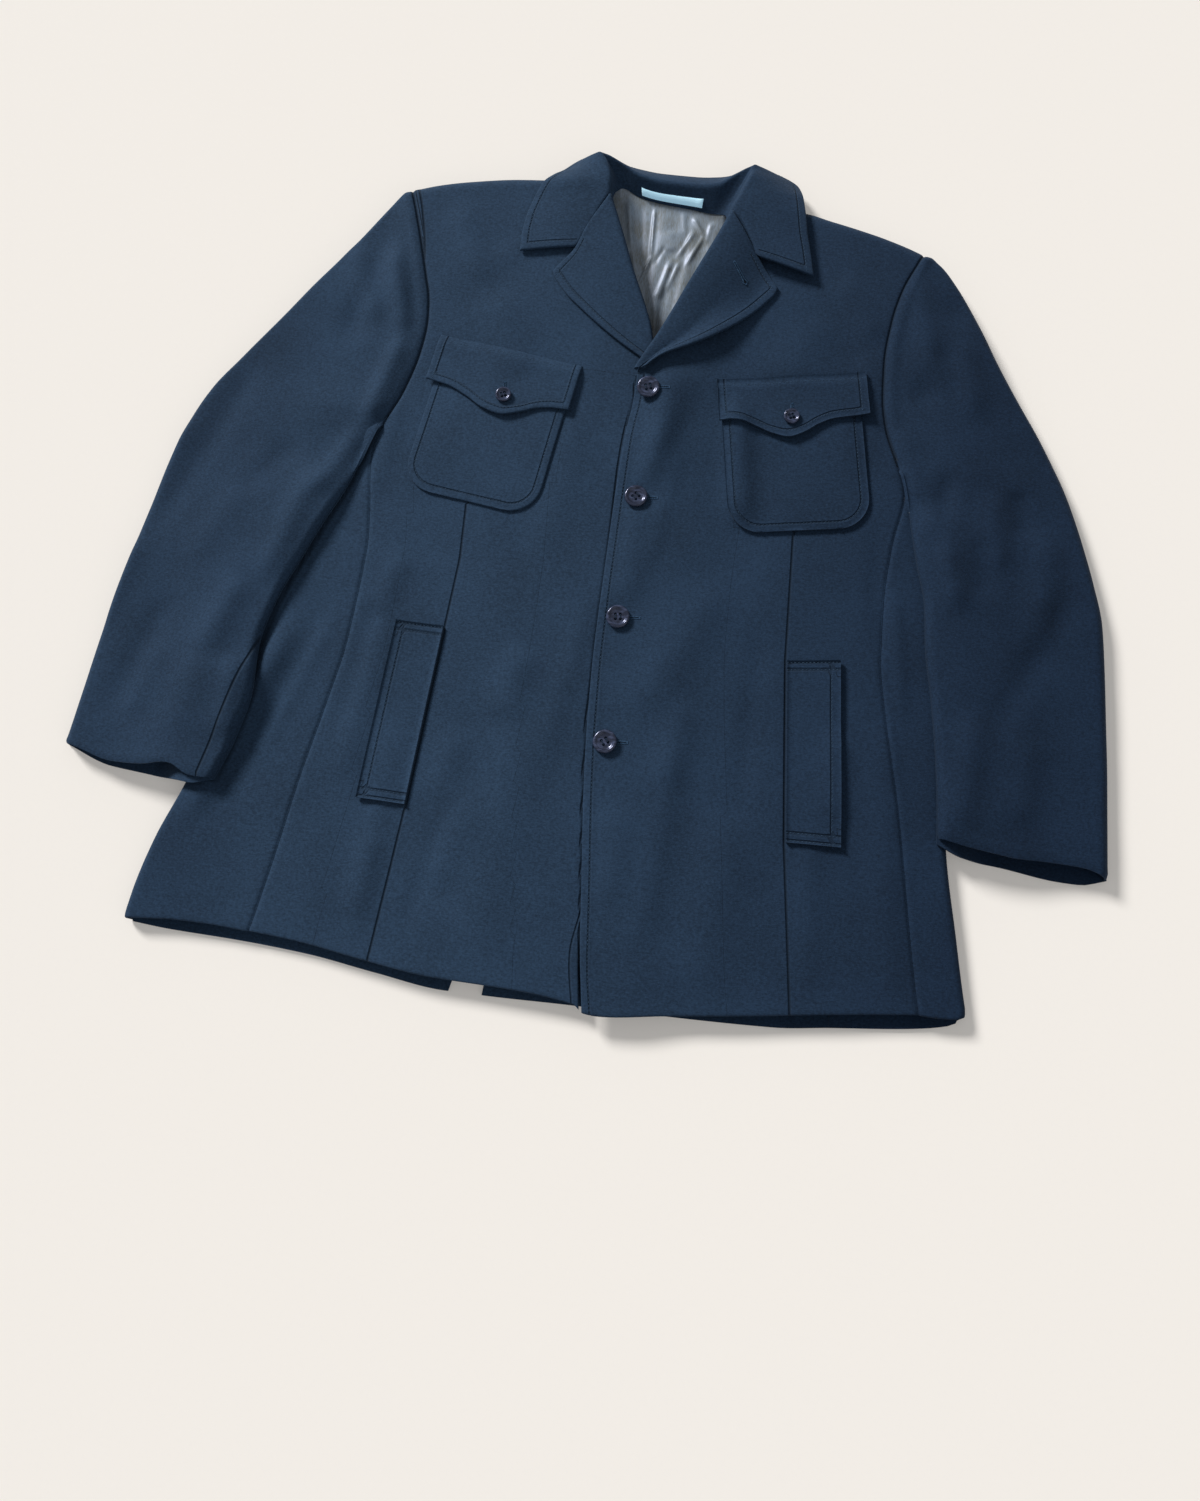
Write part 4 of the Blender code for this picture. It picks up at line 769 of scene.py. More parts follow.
def inset_run(grid, edge, inset, start=0.0, stop=1.0, ends=0.0):
    """Line on the cloth at a distance from one edge, between shares of its length, clear of the ends by a distance."""
    d = run_from(grid, edge)
    along = run_from(grid, "c0" if edge[0] == "r" else "r0")
    if edge[0] == "r":
        d, along, grid = d.T, along.T, grid.transpose(1, 0, 2)
    out = []
    for k in range(len(grid)):
        order = np.argsort(d[k])
        if d[k].max() < inset:
            continue
        share = np.interp(inset, d[k][order], along[k][order])
        total = along.max()
        if total * start + ends <= share <= total * stop - ends:
            out.append(point_at(inset, d[k][order], grid[k][order]))
    return out


# ---------------------------------------------------------------- body
def row_list(low, high, turn, pitch=5.0):
    """Rows up to a rounded top edge."""
    body = low + spread(high - turn - low, FINE, int((high - turn - low) / pitch), (0, 2.0))
    return list(body) + [high - turn + turn * math.sin(a) for a in np.radians([8, 18, 29, 40, 51, 61, 70, 78, 85, 90])]


def build_front(name, sign, edge, side, high, height, dart, break_y):
    """A front, from its edge and roll line (above break_y) to its side seam and armhole."""
    inner, outer = curve(edge), curve(side)
    grid = []
    for y in row_list(LOW, high, SHOULDER_ROUND):
        xa = float(inner(y))
        xb = float(outer(y)) - sign * HALF_SEAM
        xs = xa + (xb - xa) * spread(abs(xb - xa), FINE, 44, FINE) / abs(xb - xa)
        ys = levelled(xs, np.full(len(xs), y), hem_front, top_line, high)
        grid.append(np.stack([xs, ys, height(xs, ys)], axis=1))
    grid = np.array(grid)
    x, y = grid[..., 0], grid[..., 1]
    arm_run = run_from(grid, "c1")
    row = np.where(y < break_y - 2, run_from(grid, "c0") - STITCH_IN, FAR)
    band = 7.0 * np.sqrt(np.clip((y - ARM_BAND[name]) / 60.0, 0, 1))
    seam = nearer(distance_to(dart, x, y), np.where(band > 0.6, arm_run - band, FAR))
    seam = nearer(seam, np.where(y > ARMPIT, arm_run * 0.8, FAR))
    if sign < 0:
        # painted shade: a dark line on this front along the edge of the left front, which lies on it from here
        lap = x - curve(LEFT_EDGE)(np.clip(y, LOW, LAP_TOP))
        seam = nearer(seam, np.where((y < LAP_TOP) & (lap < 4), np.minimum(lap + 1.2, 0.0) * 0.9, FAR))
    # the band beside the armhole seam is a little fuller
    grid[..., 2] += 0.8 * ease((y - ARM_BAND[name]) / 30.0) * np.exp(-((arm_run - 3.6) / 2.2) ** 2)
    outer = shell("wool_front_" + name, grid, CLOTH, sign, "front_" + name, free="c0 r0", sewn="c1",
                  masks={"c0": ease((break_y - y) / 12.0)}, seam=seam, row=row)
    if sign > 0:
        stitches("stitches_front_" + name, [[p for p in inset_run(outer, "c0", STITCH_IN) if p[1] < break_y - 6]])
    return grid, surface_of(outer)


def build_back(name, sign, under, arm, centre_column):
    """Half of the back, from the centre seam to the side panel and the armhole."""
    stations, centre = column(CENTRE_BACK, 0), column(CENTRE_BACK, centre_column)
    arm_curve = curve(arm)
    low = SIDE_TOP[name]
    high = low + SIDE_STEP
    rows = LOW + spread(BACK_TOP - LOW, FINE, 90, FINE)
    grid = []
    for y in np.sort(np.concatenate([rows, [low, high]])):
        xa = 0.0
        for _ in range(6):
            xa = float(np.interp(float(back_shift(xa, y)), stations, centre)) + sign * HALF_SEAM
        blend = float(np.clip((y - low) / SIDE_STEP, 0, 1))
        xb = float(under(min(y, low))) * (1 - blend) + float(arm_curve(max(y, high))) * blend - sign * HALF_SEAM
        xs = xa + (xb - xa) * spread(abs(xb - xa), FINE, 30, FINE) / abs(xb - xa)
        grid.append(np.stack([xs, back_shift(xs, y), np.zeros(len(xs))], axis=1))
    grid = np.array(grid)
    # the outer face of the back lies on the surface, so the wall grows upwards
    grid[..., 2] += sum(0.9 * np.exp(-(d / 1.7) ** 2) for d in (run_from(grid, "c0"), run_from(grid, "c1")))
    shell("wool_back_" + name, grid, CLOTH, 1, "back_" + name, direction=(0, 0, 1))


def build_side(name, sign, seam, fold_x, under_x, meet):
    """Panel round the side fold: flat above, round the fold, flat below."""
    seam_x = curve(seam)
    low_top = SIDE_TOP[name]
    rows = [(y, 0.0) for y in LOW + spread(low_top - LOW, FINE, 70, (0, 2.0))]
    rows += [(low_top + 0.8 * t, t) for t in np.linspace(0, 1, 7)[1:]]
    grid = []
    for y, above in rows:
        xs_top = float(seam_x(min(y, low_top))) + sign * HALF_SEAM
        rise = (meet - low_top) * above
        shift = float(seam_x(low_top + rise)) - float(seam_x(low_top))
        xu = float(under_x(min(y, low_top))) + sign * (HALF_SEAM + 2.0 * above)
        height = float(level(y))
        r = height / 2
        turn_x = float(fold_x(y)) - sign * r
        flat = abs(turn_x - xs_top)
        pts = [(xs_top + (turn_x - xs_top) * t + shift * (1.0 - t) ** 1.5, None, 1.0 - t)
               for t in spread(flat, FINE, 16, (0, 2.0)) / flat]
        pts += [(turn_x + sign * r * math.sin(a), r + r * math.cos(a), 0.0) for a in np.linspace(0, math.pi, 15)[1:]]
        pts += [(turn_x + (xu - turn_x) * t, 0.0, 0.0) for t in np.linspace(0, 1, 16)[1:]]
        near_hem = float(np.clip(1 - (y - LOW) / 120.0, 0, 1) ** 2)
        row = []
        for k, (x, z, w) in enumerate(pts):
            down = (k / (len(pts) - 1)) if z is None or z > 0 else 1.0
            hem = hem_front(x) * (1 - down) + hem_back(x) * down
            yy = y + (float(hem) - LOW) * near_hem + rise * w ** 1.5
            if z is None:
                z = height + (float(body_height(x, yy)) - height) * w
                z += 1.7 * float(fold_relief(x, yy, FINE_FOLDS)) * (1 - w) * min(1.0, 5 * w)
            row.append((x, yy, z))
        grid.append(row)
    grid = np.array(grid)
    shade_line = None
    if sign < 0:
        # close under the free edge of the sleeve little light comes in
        path = [(row[2], row[3]) for row in SLEEVE_RIGHT if row[6] > 0]
        shade_line = np.abs(distance_to(path, grid[..., 0], grid[..., 1])) * 0.34
    shell("wool_side_" + name, grid, CLOTH, sign, "side_" + name, free="r0", sewn="c0", seam=shade_line)


# ---------------------------------------------------------------- sleeves
def sleeve_rows(table, sign, armhole, count):
    """Sections along the armhole, then easing off it at the armpit, then down to the cuff."""
    reader = [smooth([-row[3] for row in table], column(table, k)) for k in range(7)]
    closing = [row[3] for row in table if row[6] > 0]

    def section(y, free):
        return [float(f(-y)) for f in reader[:6]] + [free]
    rows = []
    for x, y in armhole:
        if y > closing[0] + 14.0:
            rows.append(section(y, 0.0))
            rows[-1][2:4] = x - sign * 0.45, y
    arm_x, arm_y = rows[-1][2], rows[-1][3]
    for s in np.linspace(0, 1, 9)[1:-1]:
        y = arm_y + (closing[0] - arm_y) * s
        rows.append(section(y, float(ease(s))))
        rows[-1][2:4] = arm_x + (float(reader[2](-closing[0])) - arm_x) * float(s), y
    return rows + [section(y, 1.0) for y in np.linspace(closing[0], closing[-1], count)]


def build_sleeve(name, sign, table, front, arm_top, folds, cuff_top, cuff_low):
    """Upper and lower sheet, section by section from the shoulder to the cuff."""
    armhole = [tuple(r[-1][:2]) for r in front[::-1] if 60 < r[-1][1] < arm_top]
    sections = sleeve_rows(table, sign, armhole, 84)
    last = len(sections) - 1
    closing = max(row[3] for row in table if row[6] > 0)
    back_arm = back_arm_line(sign)
    up, low = curve(cuff_top), curve(cuff_low)
    tops, unders = [], []
    for k, (xo, yo, xi, yi, h_out, h_in, c) in enumerate(sections):
        width = math.hypot(xi - xo, yi - yo)
        cuff = float(np.clip((k - last + 14) / 14.0, 0, 1)) ** 1.5
        turn = min(SLEEVE_ROUND, 0.75 * width) / width
        turn_in = min(SLEEVE_INNER_ROUND, 0.15 * width) / width

        def place(t, shift):
            return float(xo + (xi - xo) * t), float(yo + (yi - yo) * t) + float(shift(t)) * cuff
        x1, y1 = place(1.0, up)
        free = float(rest_height(x1, y1, sign)) + h_in * (1 - 0.24 * c)
        # just below the armpit the sleeve is still held up by the body
        hang = c * (1 - 0.9 * float(ease(1 - (closing - y1) / 80.0)))
        inner_top = float(top_height(x1, y1)) * (1 - hang) + free * hang
        ts = [turn * (1 - math.cos(a)) for a in np.radians(np.linspace(0, 80, 10))]
        ts += list(np.linspace(turn, 1 - turn_in, 34))
        ts += [1 - turn_in * (1 - math.cos(a)) for a in np.radians([80, 68, 56, 45, 34, 23, 12, 0])]
        wide = float(ease((width - 16.0) / 40.0))
        crown = min(1.0, width / 120.0)
        armpit = 4.0 * math.exp(-((y1 - 92.0) / 45.0) ** 2)
        row = []
        for t in np.array(ts) * wide + np.linspace(0, 1, len(ts)) * (1 - wide):
            x, y = place(t, up)
            blend = ease((t - 0.25) / 0.6)
            full = h_out * (1 - blend) + inner_top * blend + 2.0 * math.sin(math.pi * min(t, 1.0)) * crown
            off = 1.0 - (1 - c) * math.exp(-(((1 - t) * width) / 8.0) ** 2)
            creases = SLEEVE_DEPTH[sign] * float(fold_relief(x, y, folds)) + float(waves(x + 90, y - 40))
            full += creases * crown * off + armpit * math.sin(math.pi * min(t, 1.0) ** 1.4)
            full += (1 - c) * 1.6 * math.exp(-(((1 - t) * width - 7.0) / 5.0) ** 2) * min(1.0, width / 60.0)
            rest = float(rest_height(x, y, sign))
            ground = rest + FLOOR_LAYER + float(ease(rest / 6.0))
            inner_turn = 1 - c * (1 - float(edge_round(1 - t, turn_in)))
            row.append((x, y, ground + (full - ground) * float(edge_round(t, turn)) * inner_turn))
        tops.append(row)
        t_arm = 0.9
        for _ in range(8):
            xa, ya = place(t_arm, low)
            t_arm = float(np.clip(t_arm + (back_arm(ya) + sign * 2.0 - xa) / (xi - xo), 0.3, 1.0))
        plan = [place(t, low) for t in np.linspace(0, 1, 30) ** 0.8 * ((1 - c) * t_arm + c)]
        unders.append([(x, y, float(rest_height(x, y, sign))) for x, y in plan])
    top = np.array(tops)
    free = np.array(column(sections, 6))[:, None]
    seam = run_from(top, "c1") * 0.8 + FAR * ease(free * 1.2 - 0.2)
    if sign < 0:
        seam = nearer(seam, distance_to(CUFF_SEAM_RIGHT, top[..., 0], top[..., 1]))
    shell("wool_sleeve_top_" + name, top, CLOTH, sign, "sleeve_top_" + name, free="r1", sewn="c1",
          masks={"c1": ease(1 - free)}, seam=seam)
    shell("wool_sleeve_under_" + name, np.array(unders), CLOTH, -sign, "sleeve_under_" + name)


# ---------------------------------------------------------------- lapels and collar
def build_lapel(name, sign, table, front, surface):
    """Turned round the roll line, then lying on the front, row by row up to the gorge."""
    high_edge, lift_y, lift_reach = LAPEL_LIFT[name]
    roll_x, roll_y = front[:, 0, 0], front[:, 0, 1]
    order = np.argsort(roll_y)
    edge_x, edge_y, roll_radius = (curve(table, 0, k) for k in (1, 2, 3))
    low, high = table[0][0], table[-1][0]
    grid = []
    for y in low + spread(high - low, (0, 1.0), 84, FINE):
        start = np.array([float(np.interp(y, roll_y[order], roll_x[order])), y])
        end = np.array([float(edge_x(y)), float(edge_y(y))])
        radius = float(roll_radius(y))
        width = float(np.linalg.norm(end - start))
        wide = min(1.0, width / 60.0)
        tall = radius * (1.0 + ROLL_FULL[name] * wide)
        out = (end - start) / width
        turn = np.array([out[1], -out[0]]) * sign
        base = surface(start[0] + out[0] * 1.5, start[1] + out[1] * 1.5)
        base = base if base > 0 else surface(start[0] + out[0] * 4, start[1] + out[1] * 4)
        row = []
        for a in np.radians(np.linspace(-90, 66, 11)):
            q = start - out * (ROLL_SEAM + radius * math.cos(a))
            row.append((q[0], q[1], base - CLOTH + tall + tall * math.sin(a)))
        crest = base - CLOTH + 2 * tall
        near = float(ease((y - (high - 40.0)) / 40.0))
        for d in spread(width, (0, 1.5), 40, FINE):
            t = d / width
            q = start + out * (width * t - ROLL_SEAM * (1 - t))
            q = q + turn * NOTCH_DENT[name] * near * math.exp(-((t - 0.68) / 0.2) ** 2)
            ground = surface(q[0] + out[0], q[1] + out[1], 2.0)
            lying = (base if ground < 0 or t == 0 else ground) + LAID + LAPEL_CLOTH
            z = crest * (1 - ease(t * 1.15)) + lying * ease(t * 1.15)
            z = max(z, lying) + 0.6 * math.sin(math.pi * min(t, 1)) ** 2 * wide
            z += high_edge * math.exp(-((y - lift_y) / lift_reach) ** 2) * float(ease((t - 0.45) / 0.5))
            row.append((q[0], q[1], z))
        grid.append(row)
    grid = np.array(grid)
    grid[..., 2] += 0.3 * np.sin(grid[..., 0] * 0.07 + grid[..., 1] * 0.05)
    flat_run = run_from(grid, "c1")
    row = np.minimum(flat_run, np.where(flat_run < 44, run_from(grid, "r1"), FAR)) - STITCH_IN
    outer = shell("wool_lapel_" + name, grid, LAPEL_CLOTH, sign, "lapel_" + name, M_WOOL_CROSS,
                  free="c1 r1", row=row)
    stitches("stitches_lapel_" + name, [inset_run(outer, "c1", STITCH_IN, 0.04, 1.0, STITCH_IN),
                                        inset_run(outer, "r1", STITCH_IN, 0.5, 1.0, STITCH_IN)])
    return outer


def build_collar():
    """Leaf, fold and stand in one cloth, with the label on the stand."""
    last = len(COLLAR) - 1
    reader = [smooth(np.arange(last + 1), column(COLLAR, k)) for k in range(10)]
    close = (0, 0.0012, 0.003, 0.006)
    ends = last * spread(1.0, close, 200, close)
    grid = []
    for q in ends:
        values = np.array([float(f(q)) for f in reader])
        e, f, foot, bow = values[:3], values[3:6], values[6:9], values[9]
        # at the gorge the collar meets the lapels, and the left end stands higher
        f = f + float(ease(3.9 - q)) * GORGE_REACH * np.array([0.85, -0.52, -0.25])
        f = f + float(ease(q - 18.1)) * GORGE_REACH * np.array([-0.81, -0.58, 0.1])
        f[2] += 0.8 + 4.5 * float(ease(q - 16.5))
        e[2] += 2.5 * float(ease(q - 17.0))
        size = float(np.linalg.norm(f - e))
        row = []
        for d in spread(size, FINE, 20, (0, 4.0))[:-1]:
            t = d / size
            p = e + (f - e) * t
            p[2] += bow * math.sin(math.pi * t) + 0.35 * math.sin(q * 1.7 + 3 * t)
            row.append(p)
        reach = float(np.linalg.norm(foot - f))
        b = f + (foot - f) / reach * min(5.0, reach * 0.3)
        a = row[-1]
        row += [a * (1 - t) ** 2 + f * 2 * t * (1 - t) + b * t * t for t in np.linspace(0, 1, 9)[1:]]
        end_share = float(np.clip(min(q, last - q) / 4.0, 0, 1))
        stop = foot + (b - foot) * (1 - end_share) * 0.7
        row += [b + (stop - b) * t for t in np.linspace(0, 1, 10)[1:]]
        grid.append(row)
    grid = np.array(grid)
    cols = grid.shape[1]
    row = np.where(np.arange(cols)[None, :] < LEAF_COLUMNS, nearest(grid, "c0 r0 r1") - STITCH_IN, FAR)
    outer = shell("wool_collar", grid, COLLAR_CLOTH, 1, ("collar", "collar_stand"), M_WOOL_CROSS,
                  free="c0 r0 r1", row=row)
    out = normals(grid)
    label = []
    for u in spread(1.0, (0, 0.01, 0.03), 34, (0, 0.01, 0.03)):
        q = LABEL_SPAN[0] + (LABEL_SPAN[1] - LABEL_SPAN[0]) * u
        row = []
        for v in spread(1.0, (0, 0.06, 0.16), 4, (0, 0.06, 0.16)):
            share = cols - 17 + 16 * (LABEL_DEPTH[0] + (LABEL_DEPTH[1] - LABEL_DEPTH[0]) * v)
            low = int(share)
            k = share - low
            p, n = (point_at(q, ends, field[:, low] * (1 - k) + field[:, min(low + 1, cols - 1)] * k)
                    for field in (grid, out))
            row.append(p + n * LABEL_LIFT)
        label.append(row)
    shell("woven_label", np.array(label), LABEL_CLOTH, 1, "neck_label", M_LABEL,
          free="r0 r1 c0 c1")
    leaf = outer[:, :LEAF_COLUMNS]
    stitches("stitches_collar", [inset_run(outer, "c0", STITCH_IN, 0.0, 1.0, STITCH_IN),
                                 inset_run(leaf, "r0", STITCH_IN, 0.0, 0.92, STITCH_IN),
                                 inset_run(leaf, "r1", STITCH_IN, 0.0, 0.92, STITCH_IN)])


def build_lining():
    foot = sorted(row[6:9] for row in COLLAR if abs(row[6]) < 50.5)
    fx, fy, fz = np.array(foot, float).T
    xs = np.linspace(-LINING_HALF, LINING_HALF, 150)
    top = np.interp(xs, fx, fy) + 0.7
    grid = []
    for v in np.concatenate([np.linspace(0, 0.9, 96), np.linspace(0.9, 1, 26)[1:]]):
        ys = LINING_LOW + (top - LINING_LOW) * v
        drop = np.clip((346.0 - ys) / 170.0, 0, 1)
        z = np.full(xs.shape, FLOOR_LAYER + LINING + 0.6)
        for top_x, low_x, width, height in LINING_PLEATS:
            centre = top_x + (low_x - top_x) * drop + 1.5 * np.sin(ys * 0.05 + top_x)
            fade = ease((1.02 - drop) * 3) * ease(0.35 + drop * 3)
            z = z + 0.7 * height * np.exp(-((xs - centre) / width) ** 2) * fade
        z = z + 0.35 * np.sin(0.19 * xs + 0.05 * ys) * np.sin(0.07 * ys - 0.02 * xs)
        z = z + fold_relief(xs, ys, LINING_CREASES)
        near = np.exp(-((top - ys) / 5.0) ** 1.5)
        z = z * (1 - near) + (np.interp(xs, fx, fz) - 0.9) * near
        grid.append(np.stack([xs, ys, z], axis=1))
    shell("satin_lining", np.array(grid), LINING, 1, "lining", M_SATIN, (0, 0, -1))


# ---------------------------------------------------------------- pockets
def laid(p, surface, reach, rise=0.0):
    """Outer point of a piece of light cloth over a place in plan."""
    return p[0], p[1], surface(p[0], p[1], reach) + LAID + rise + LIGHT_CLOTH


def patch(kind, name, sign, grid, free, sewn, row, runs):
    """A piece laid on the cloth under it, with its rows of stitches."""
    outer = shell("wool_%s_%s" % (kind, name), grid, LIGHT_CLOTH, sign,
                  "%s_%s" % (kind, name), direction=(0, 0, -1), free=free, sewn=sewn, row=row)
    lies = surface_of(outer)
    stitches("stitches_%s_%s" % (kind, name), runs(outer, lies))
    return lies


def build_pockets(name, sign, surface, flap_edge):
    x, y, slope, flap_width = FLAP[name]
    a = math.radians(slope)
    origin = np.array([x, y])
    along = np.array([math.cos(a), math.sin(a)])
    down = np.array([math.sin(a), -math.cos(a)])
    start, width, top, bottom, corner = POCKET[name]
    square = bottom - corner       # depth where the round corners start
    middle = start + width / 2
    depths = list(np.linspace(top, square, 26))
    depths += [square + corner * math.sin(a) for a in np.radians([8, 16, 24, 33, 42, 51, 60, 68, 75, 81, 86, 90])]
    grid, runs_in = [], []
    for d in depths:
        half = width / 2 - corner + math.sqrt(max(corner ** 2 - max(0.0, d - square) ** 2, 0.0))
        row, inside = [], []
        for s in spread(2 * half, FINE, 26, FINE):
            side, foot = abs(s - half) - (width / 2 - corner), d - square
            inside.append(corner - math.hypot(max(side, 0.0), max(foot, 0.0)) - min(max(side, foot), 0.0))
            row.append(laid(origin + along * (middle - half + s) + down * d, surface, 2.0))
        grid.append(row)
        runs_in.append(inside)
    grid, edges_run = np.array(grid), np.array(runs_in)
    grid[..., 2] += 0.8 * ease(edges_run / 18.0)
    half, turn = width / 2 - POCKET_IN, corner - POCKET_IN
    path = [(-half, top + 4), (-half, square)]
    for a in np.radians(np.linspace(0, 90, 14)):
        path.append((-half + turn - turn * math.cos(a), square + turn * math.sin(a)))
    path += [(-s, d) for s, d in path[::-1]]
    plan = np.array([origin + along * (middle + s) + down * d for s, d in path])

    def pocket_run(outer, lies):
        d = lengths(plan)
        spots = [point_at(t, d, plan) for t in np.arange(0, d[-1], 2.0)]
        return [[(*p, lies(*p)) for p in spots if lies(*p) > 0]]
    patch("pocket", name, sign, grid, "c0 c1 r1", "", edges_run - POCKET_IN, pocket_run)

    low = curve(flap_edge)
    grid = []
    for v in spread(1.0, (0, 0.008, 0.02), 22, tuple(f / 52.0 for f in FINE)):
        row = []
        for a in spread(flap_width, FINE, 42, FINE):
            d = float(low(a)) * v
            rise = 2.3 * float(ease(d / 11.0)) + 2.6 * (d / 60.0) ** 2 + 0.35 * math.sin(a * 0.09 + 1.0) * (d / 60.0)
            row.append(laid(origin + along * a + down * d, surface, 3.0, rise))
        grid.append(row)
    grid = np.array(grid)
    flap_surface = patch(
        "flap", name, sign, grid, "c0 c1 r1", "r0", nearest(grid, "c0 c1 r1") - FLAP_IN,
        lambda outer, lies: [inset_run(outer, "r1", FLAP_IN, 0, 1, 7.0), inset_run(outer, "c0", FLAP_IN, 0.12, 0.86),
                             inset_run(outer, "c1", FLAP_IN, 0.12, 0.86), inset_run(outer, "r0", 6.4, 0.01, 0.99)])

    corners = [np.array(c, float) for c in WELT[name]]
    length = float(np.linalg.norm(corners[2] - corners[0]))
    grid = []
    for s in spread(length, FINE, 34, FINE) / length:
        inner = corners[0] + (corners[2] - corners[0]) * s
        across = corners[1] + (corners[3] - corners[1]) * s - inner
        wide = float(np.linalg.norm(across))
        grid.append([laid(inner + across * u, surface, 2.0, 1.8 * u * u) for u in spread(wide, FINE, 10, FINE) / wide])
    grid = np.array(grid)
    ends_run = nearest(grid, "r0 r1")
    rows = nearer(nearer(ends_run - 2.2, ends_run - 8.6), run_from(grid, "c1") - WELT_IN)
    patch("welt", name, sign, grid, "c1 r0 r1", "c0", rows,
          lambda outer, lies: [inset_run(outer, edge, far) for far in (2.2, 8.6) for edge in ("r0", "r1")]
          + [inset_run(outer, "c1", WELT_IN, 0, 1, 9.5)])
    return flap_surface


# ---------------------------------------------------------------- buttons
def turned(profile, sides, radius, thickness, x, y, z):
    """Solid of a profile turned round an upright axis."""
    verts, faces = [(x, y, z)], []
    rings = profile[1:-1]
    for share, high in rings:
        for k in range(sides):
            a = 2 * math.pi * k / sides
            verts.append((x + radius * share * math.cos(a), y + radius * share * math.sin(a), z + thickness * high))
    verts.append((x, y, z + thickness * profile[-1][1]))
    top = 1 + (len(rings) - 1) * sides
    for k in range(sides):
        n = (k + 1) % sides
        faces.append((0, 1 + n, 1 + k))
        faces += [(a + k, a + n, a + sides + n, a + sides + k) for a in range(1, top, sides)]
        faces.append((top + k, top + n, len(verts) - 1))
    return verts, faces


def button(name, x, y, surface, diameter, thickness, tilt):
    """Four-hole button on a surface, with its thread."""
    obj = put("resin_" + name, *turned(BUTTON_TURN, 64, diameter / 2, thickness, 0, 0, 0), M_RESIN, 40.0)
    pitch = HOLE_PITCH * diameter / BUTTON_D / 2
    verts, faces = [], []
    for sx, sy in ((1, 1), (1, -1), (-1, -1), (-1, 1)):
        v, f = turned(HOLE_TURN, 20, HOLE_D / 2, thickness * 0.72, sx * pitch, sy * pitch, -0.1 * thickness)
        faces += [tuple(i + len(verts) for i in face) for face in f]
        verts += v
    mesh = bpy.data.meshes.new("holes")
    mesh.from_pydata((np.array(verts) * MM).tolist(), [], faces)
    cutter = bpy.data.objects.new("holes", mesh)
    bpy.context.scene.collection.objects.link(cutter)
    cut = obj.modifiers.new("holes", "BOOLEAN")
    cut.operation = "DIFFERENCE"
    cut.solver = "EXACT"
    cut.object = cutter
    bpy.context.view_layer.update()
    done = bpy.data.meshes.new_from_object(obj.evaluated_get(bpy.context.evaluated_depsgraph_get()))
    obj.modifiers.clear()
    obj.data = done
    bpy.data.objects.remove(cutter, do_unlink=True)
    z = surface(x, y, diameter / 3) + BUTTON_SEAT
    place = Matrix.Translation(Vector((x * MM, y * MM, z * MM)))
    for angle, axis in zip(tilt, "XYZ"):
        place = place @ Matrix.Rotation(angle, 4, axis)
    obj.data.transform(place)
    obj.data.polygons.foreach_set("use_smooth", [True] * len(obj.data.polygons))
    obj.data.set_sharp_from_angle(angle=math.radians(40))
    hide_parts(name)
    # threads through the holes, two bars side by side
    verts, faces = [], []
    for sx in (-1, 1):
        for shift in (-0.28, 0.0, 0.28):
            centres = [np.array([sx * pitch + shift, t * (pitch + 0.35),
                                 thickness * 0.60 + 0.34 - 1.5 * max(0.0, abs(t) - 0.72) / 0.28])
                       for t in np.linspace(-1, 1, 9)]
            tube(verts, faces, centres, np.array([1.0, 0, 0]), np.array([0, 0, 1.0]), [0.2] * 9, 6)
    sewn = put("thread_" + name, verts, faces, M_THREAD_DEEP)
    sewn.data.transform(place)


def buttonhole(name, surface, start, stop, eye=0.0):
    """Worked slit: close threads on both sides of the cut, with a bar at each end; the cut is a dark strip, painted
    shade of the opening.
    """
    a = np.array(start, float)
    b = np.array(stop, float)
    size = float(np.linalg.norm(b - a))
    along = (b - a) / size
    across = np.array([-along[1], along[0]])
    verts, faces = [], []

    def strand(p, q, lift, radius):
        zp, zq = surface(*p, 0.5), surface(*q, 0.5)
        if zp < 0 or zq < 0:
            return
        p3, q3 = np.array([*p, zp + lift[0]]), np.array([*q, zq + lift[1]])
        d = unit(q3 - p3)
        s = unit(np.cross(d, (0, 0, 1.0)))
        u = np.cross(s, d)
        centres = [p3 + (q3 - p3) * t + u * 0.12 * math.sin(math.pi * t) for t in (0, 0.2, 0.8, 1)]
        tube(verts, faces, centres, s, u, [radius * wide for wide in (0.5, 1.0, 1.0, 0.5)], 5, caps=False)

    def opening(t):
        return eye * math.exp(-((size - 1.2 - t) / 1.5) ** 2)
    step = 0.62
    for k in range(int(size / step) + 1):
        c = a + along * min(k * step, size)
        near = 0.25 + opening(k * step)
        for sgn in (-1, 1):
            far = 1.55 + opening(k * step) + rng.uniform(-0.12, 0.12)
            strand(c + across * sgn * near, c + across * sgn * far, (0.38, 0.08), 0.27)
    for end, out in ((a, -1), (b, 1)):
        for k in range(3):
            c = end + along * out * (0.3 + 0.45 * k)
            strand(c - across * 1.3, c + across * 1.3, (0.2, 0.2), 0.25)
    put("buttonhole_" + name, verts, faces, M_THREAD_HOLE)
    # the cut's opening, a near-black strip: painted shade
    verts = []
    for t in np.arange(13) / 12:
        half = 0.5 * math.sin(math.pi * (0.06 + 0.88 * t)) ** 0.5 + opening(size * t)
        for sgn in (-1, 1):
            q = a + along * size * t + across * sgn * half
            verts.append((q[0], q[1], surface(q[0], q[1], 0.4) + 0.16))
    faces = [(k, k + 1, k + 3, k + 2) for k in range(0, 24, 2)]
    put("slit_" + name, verts, faces, M_SLIT_SHADE)


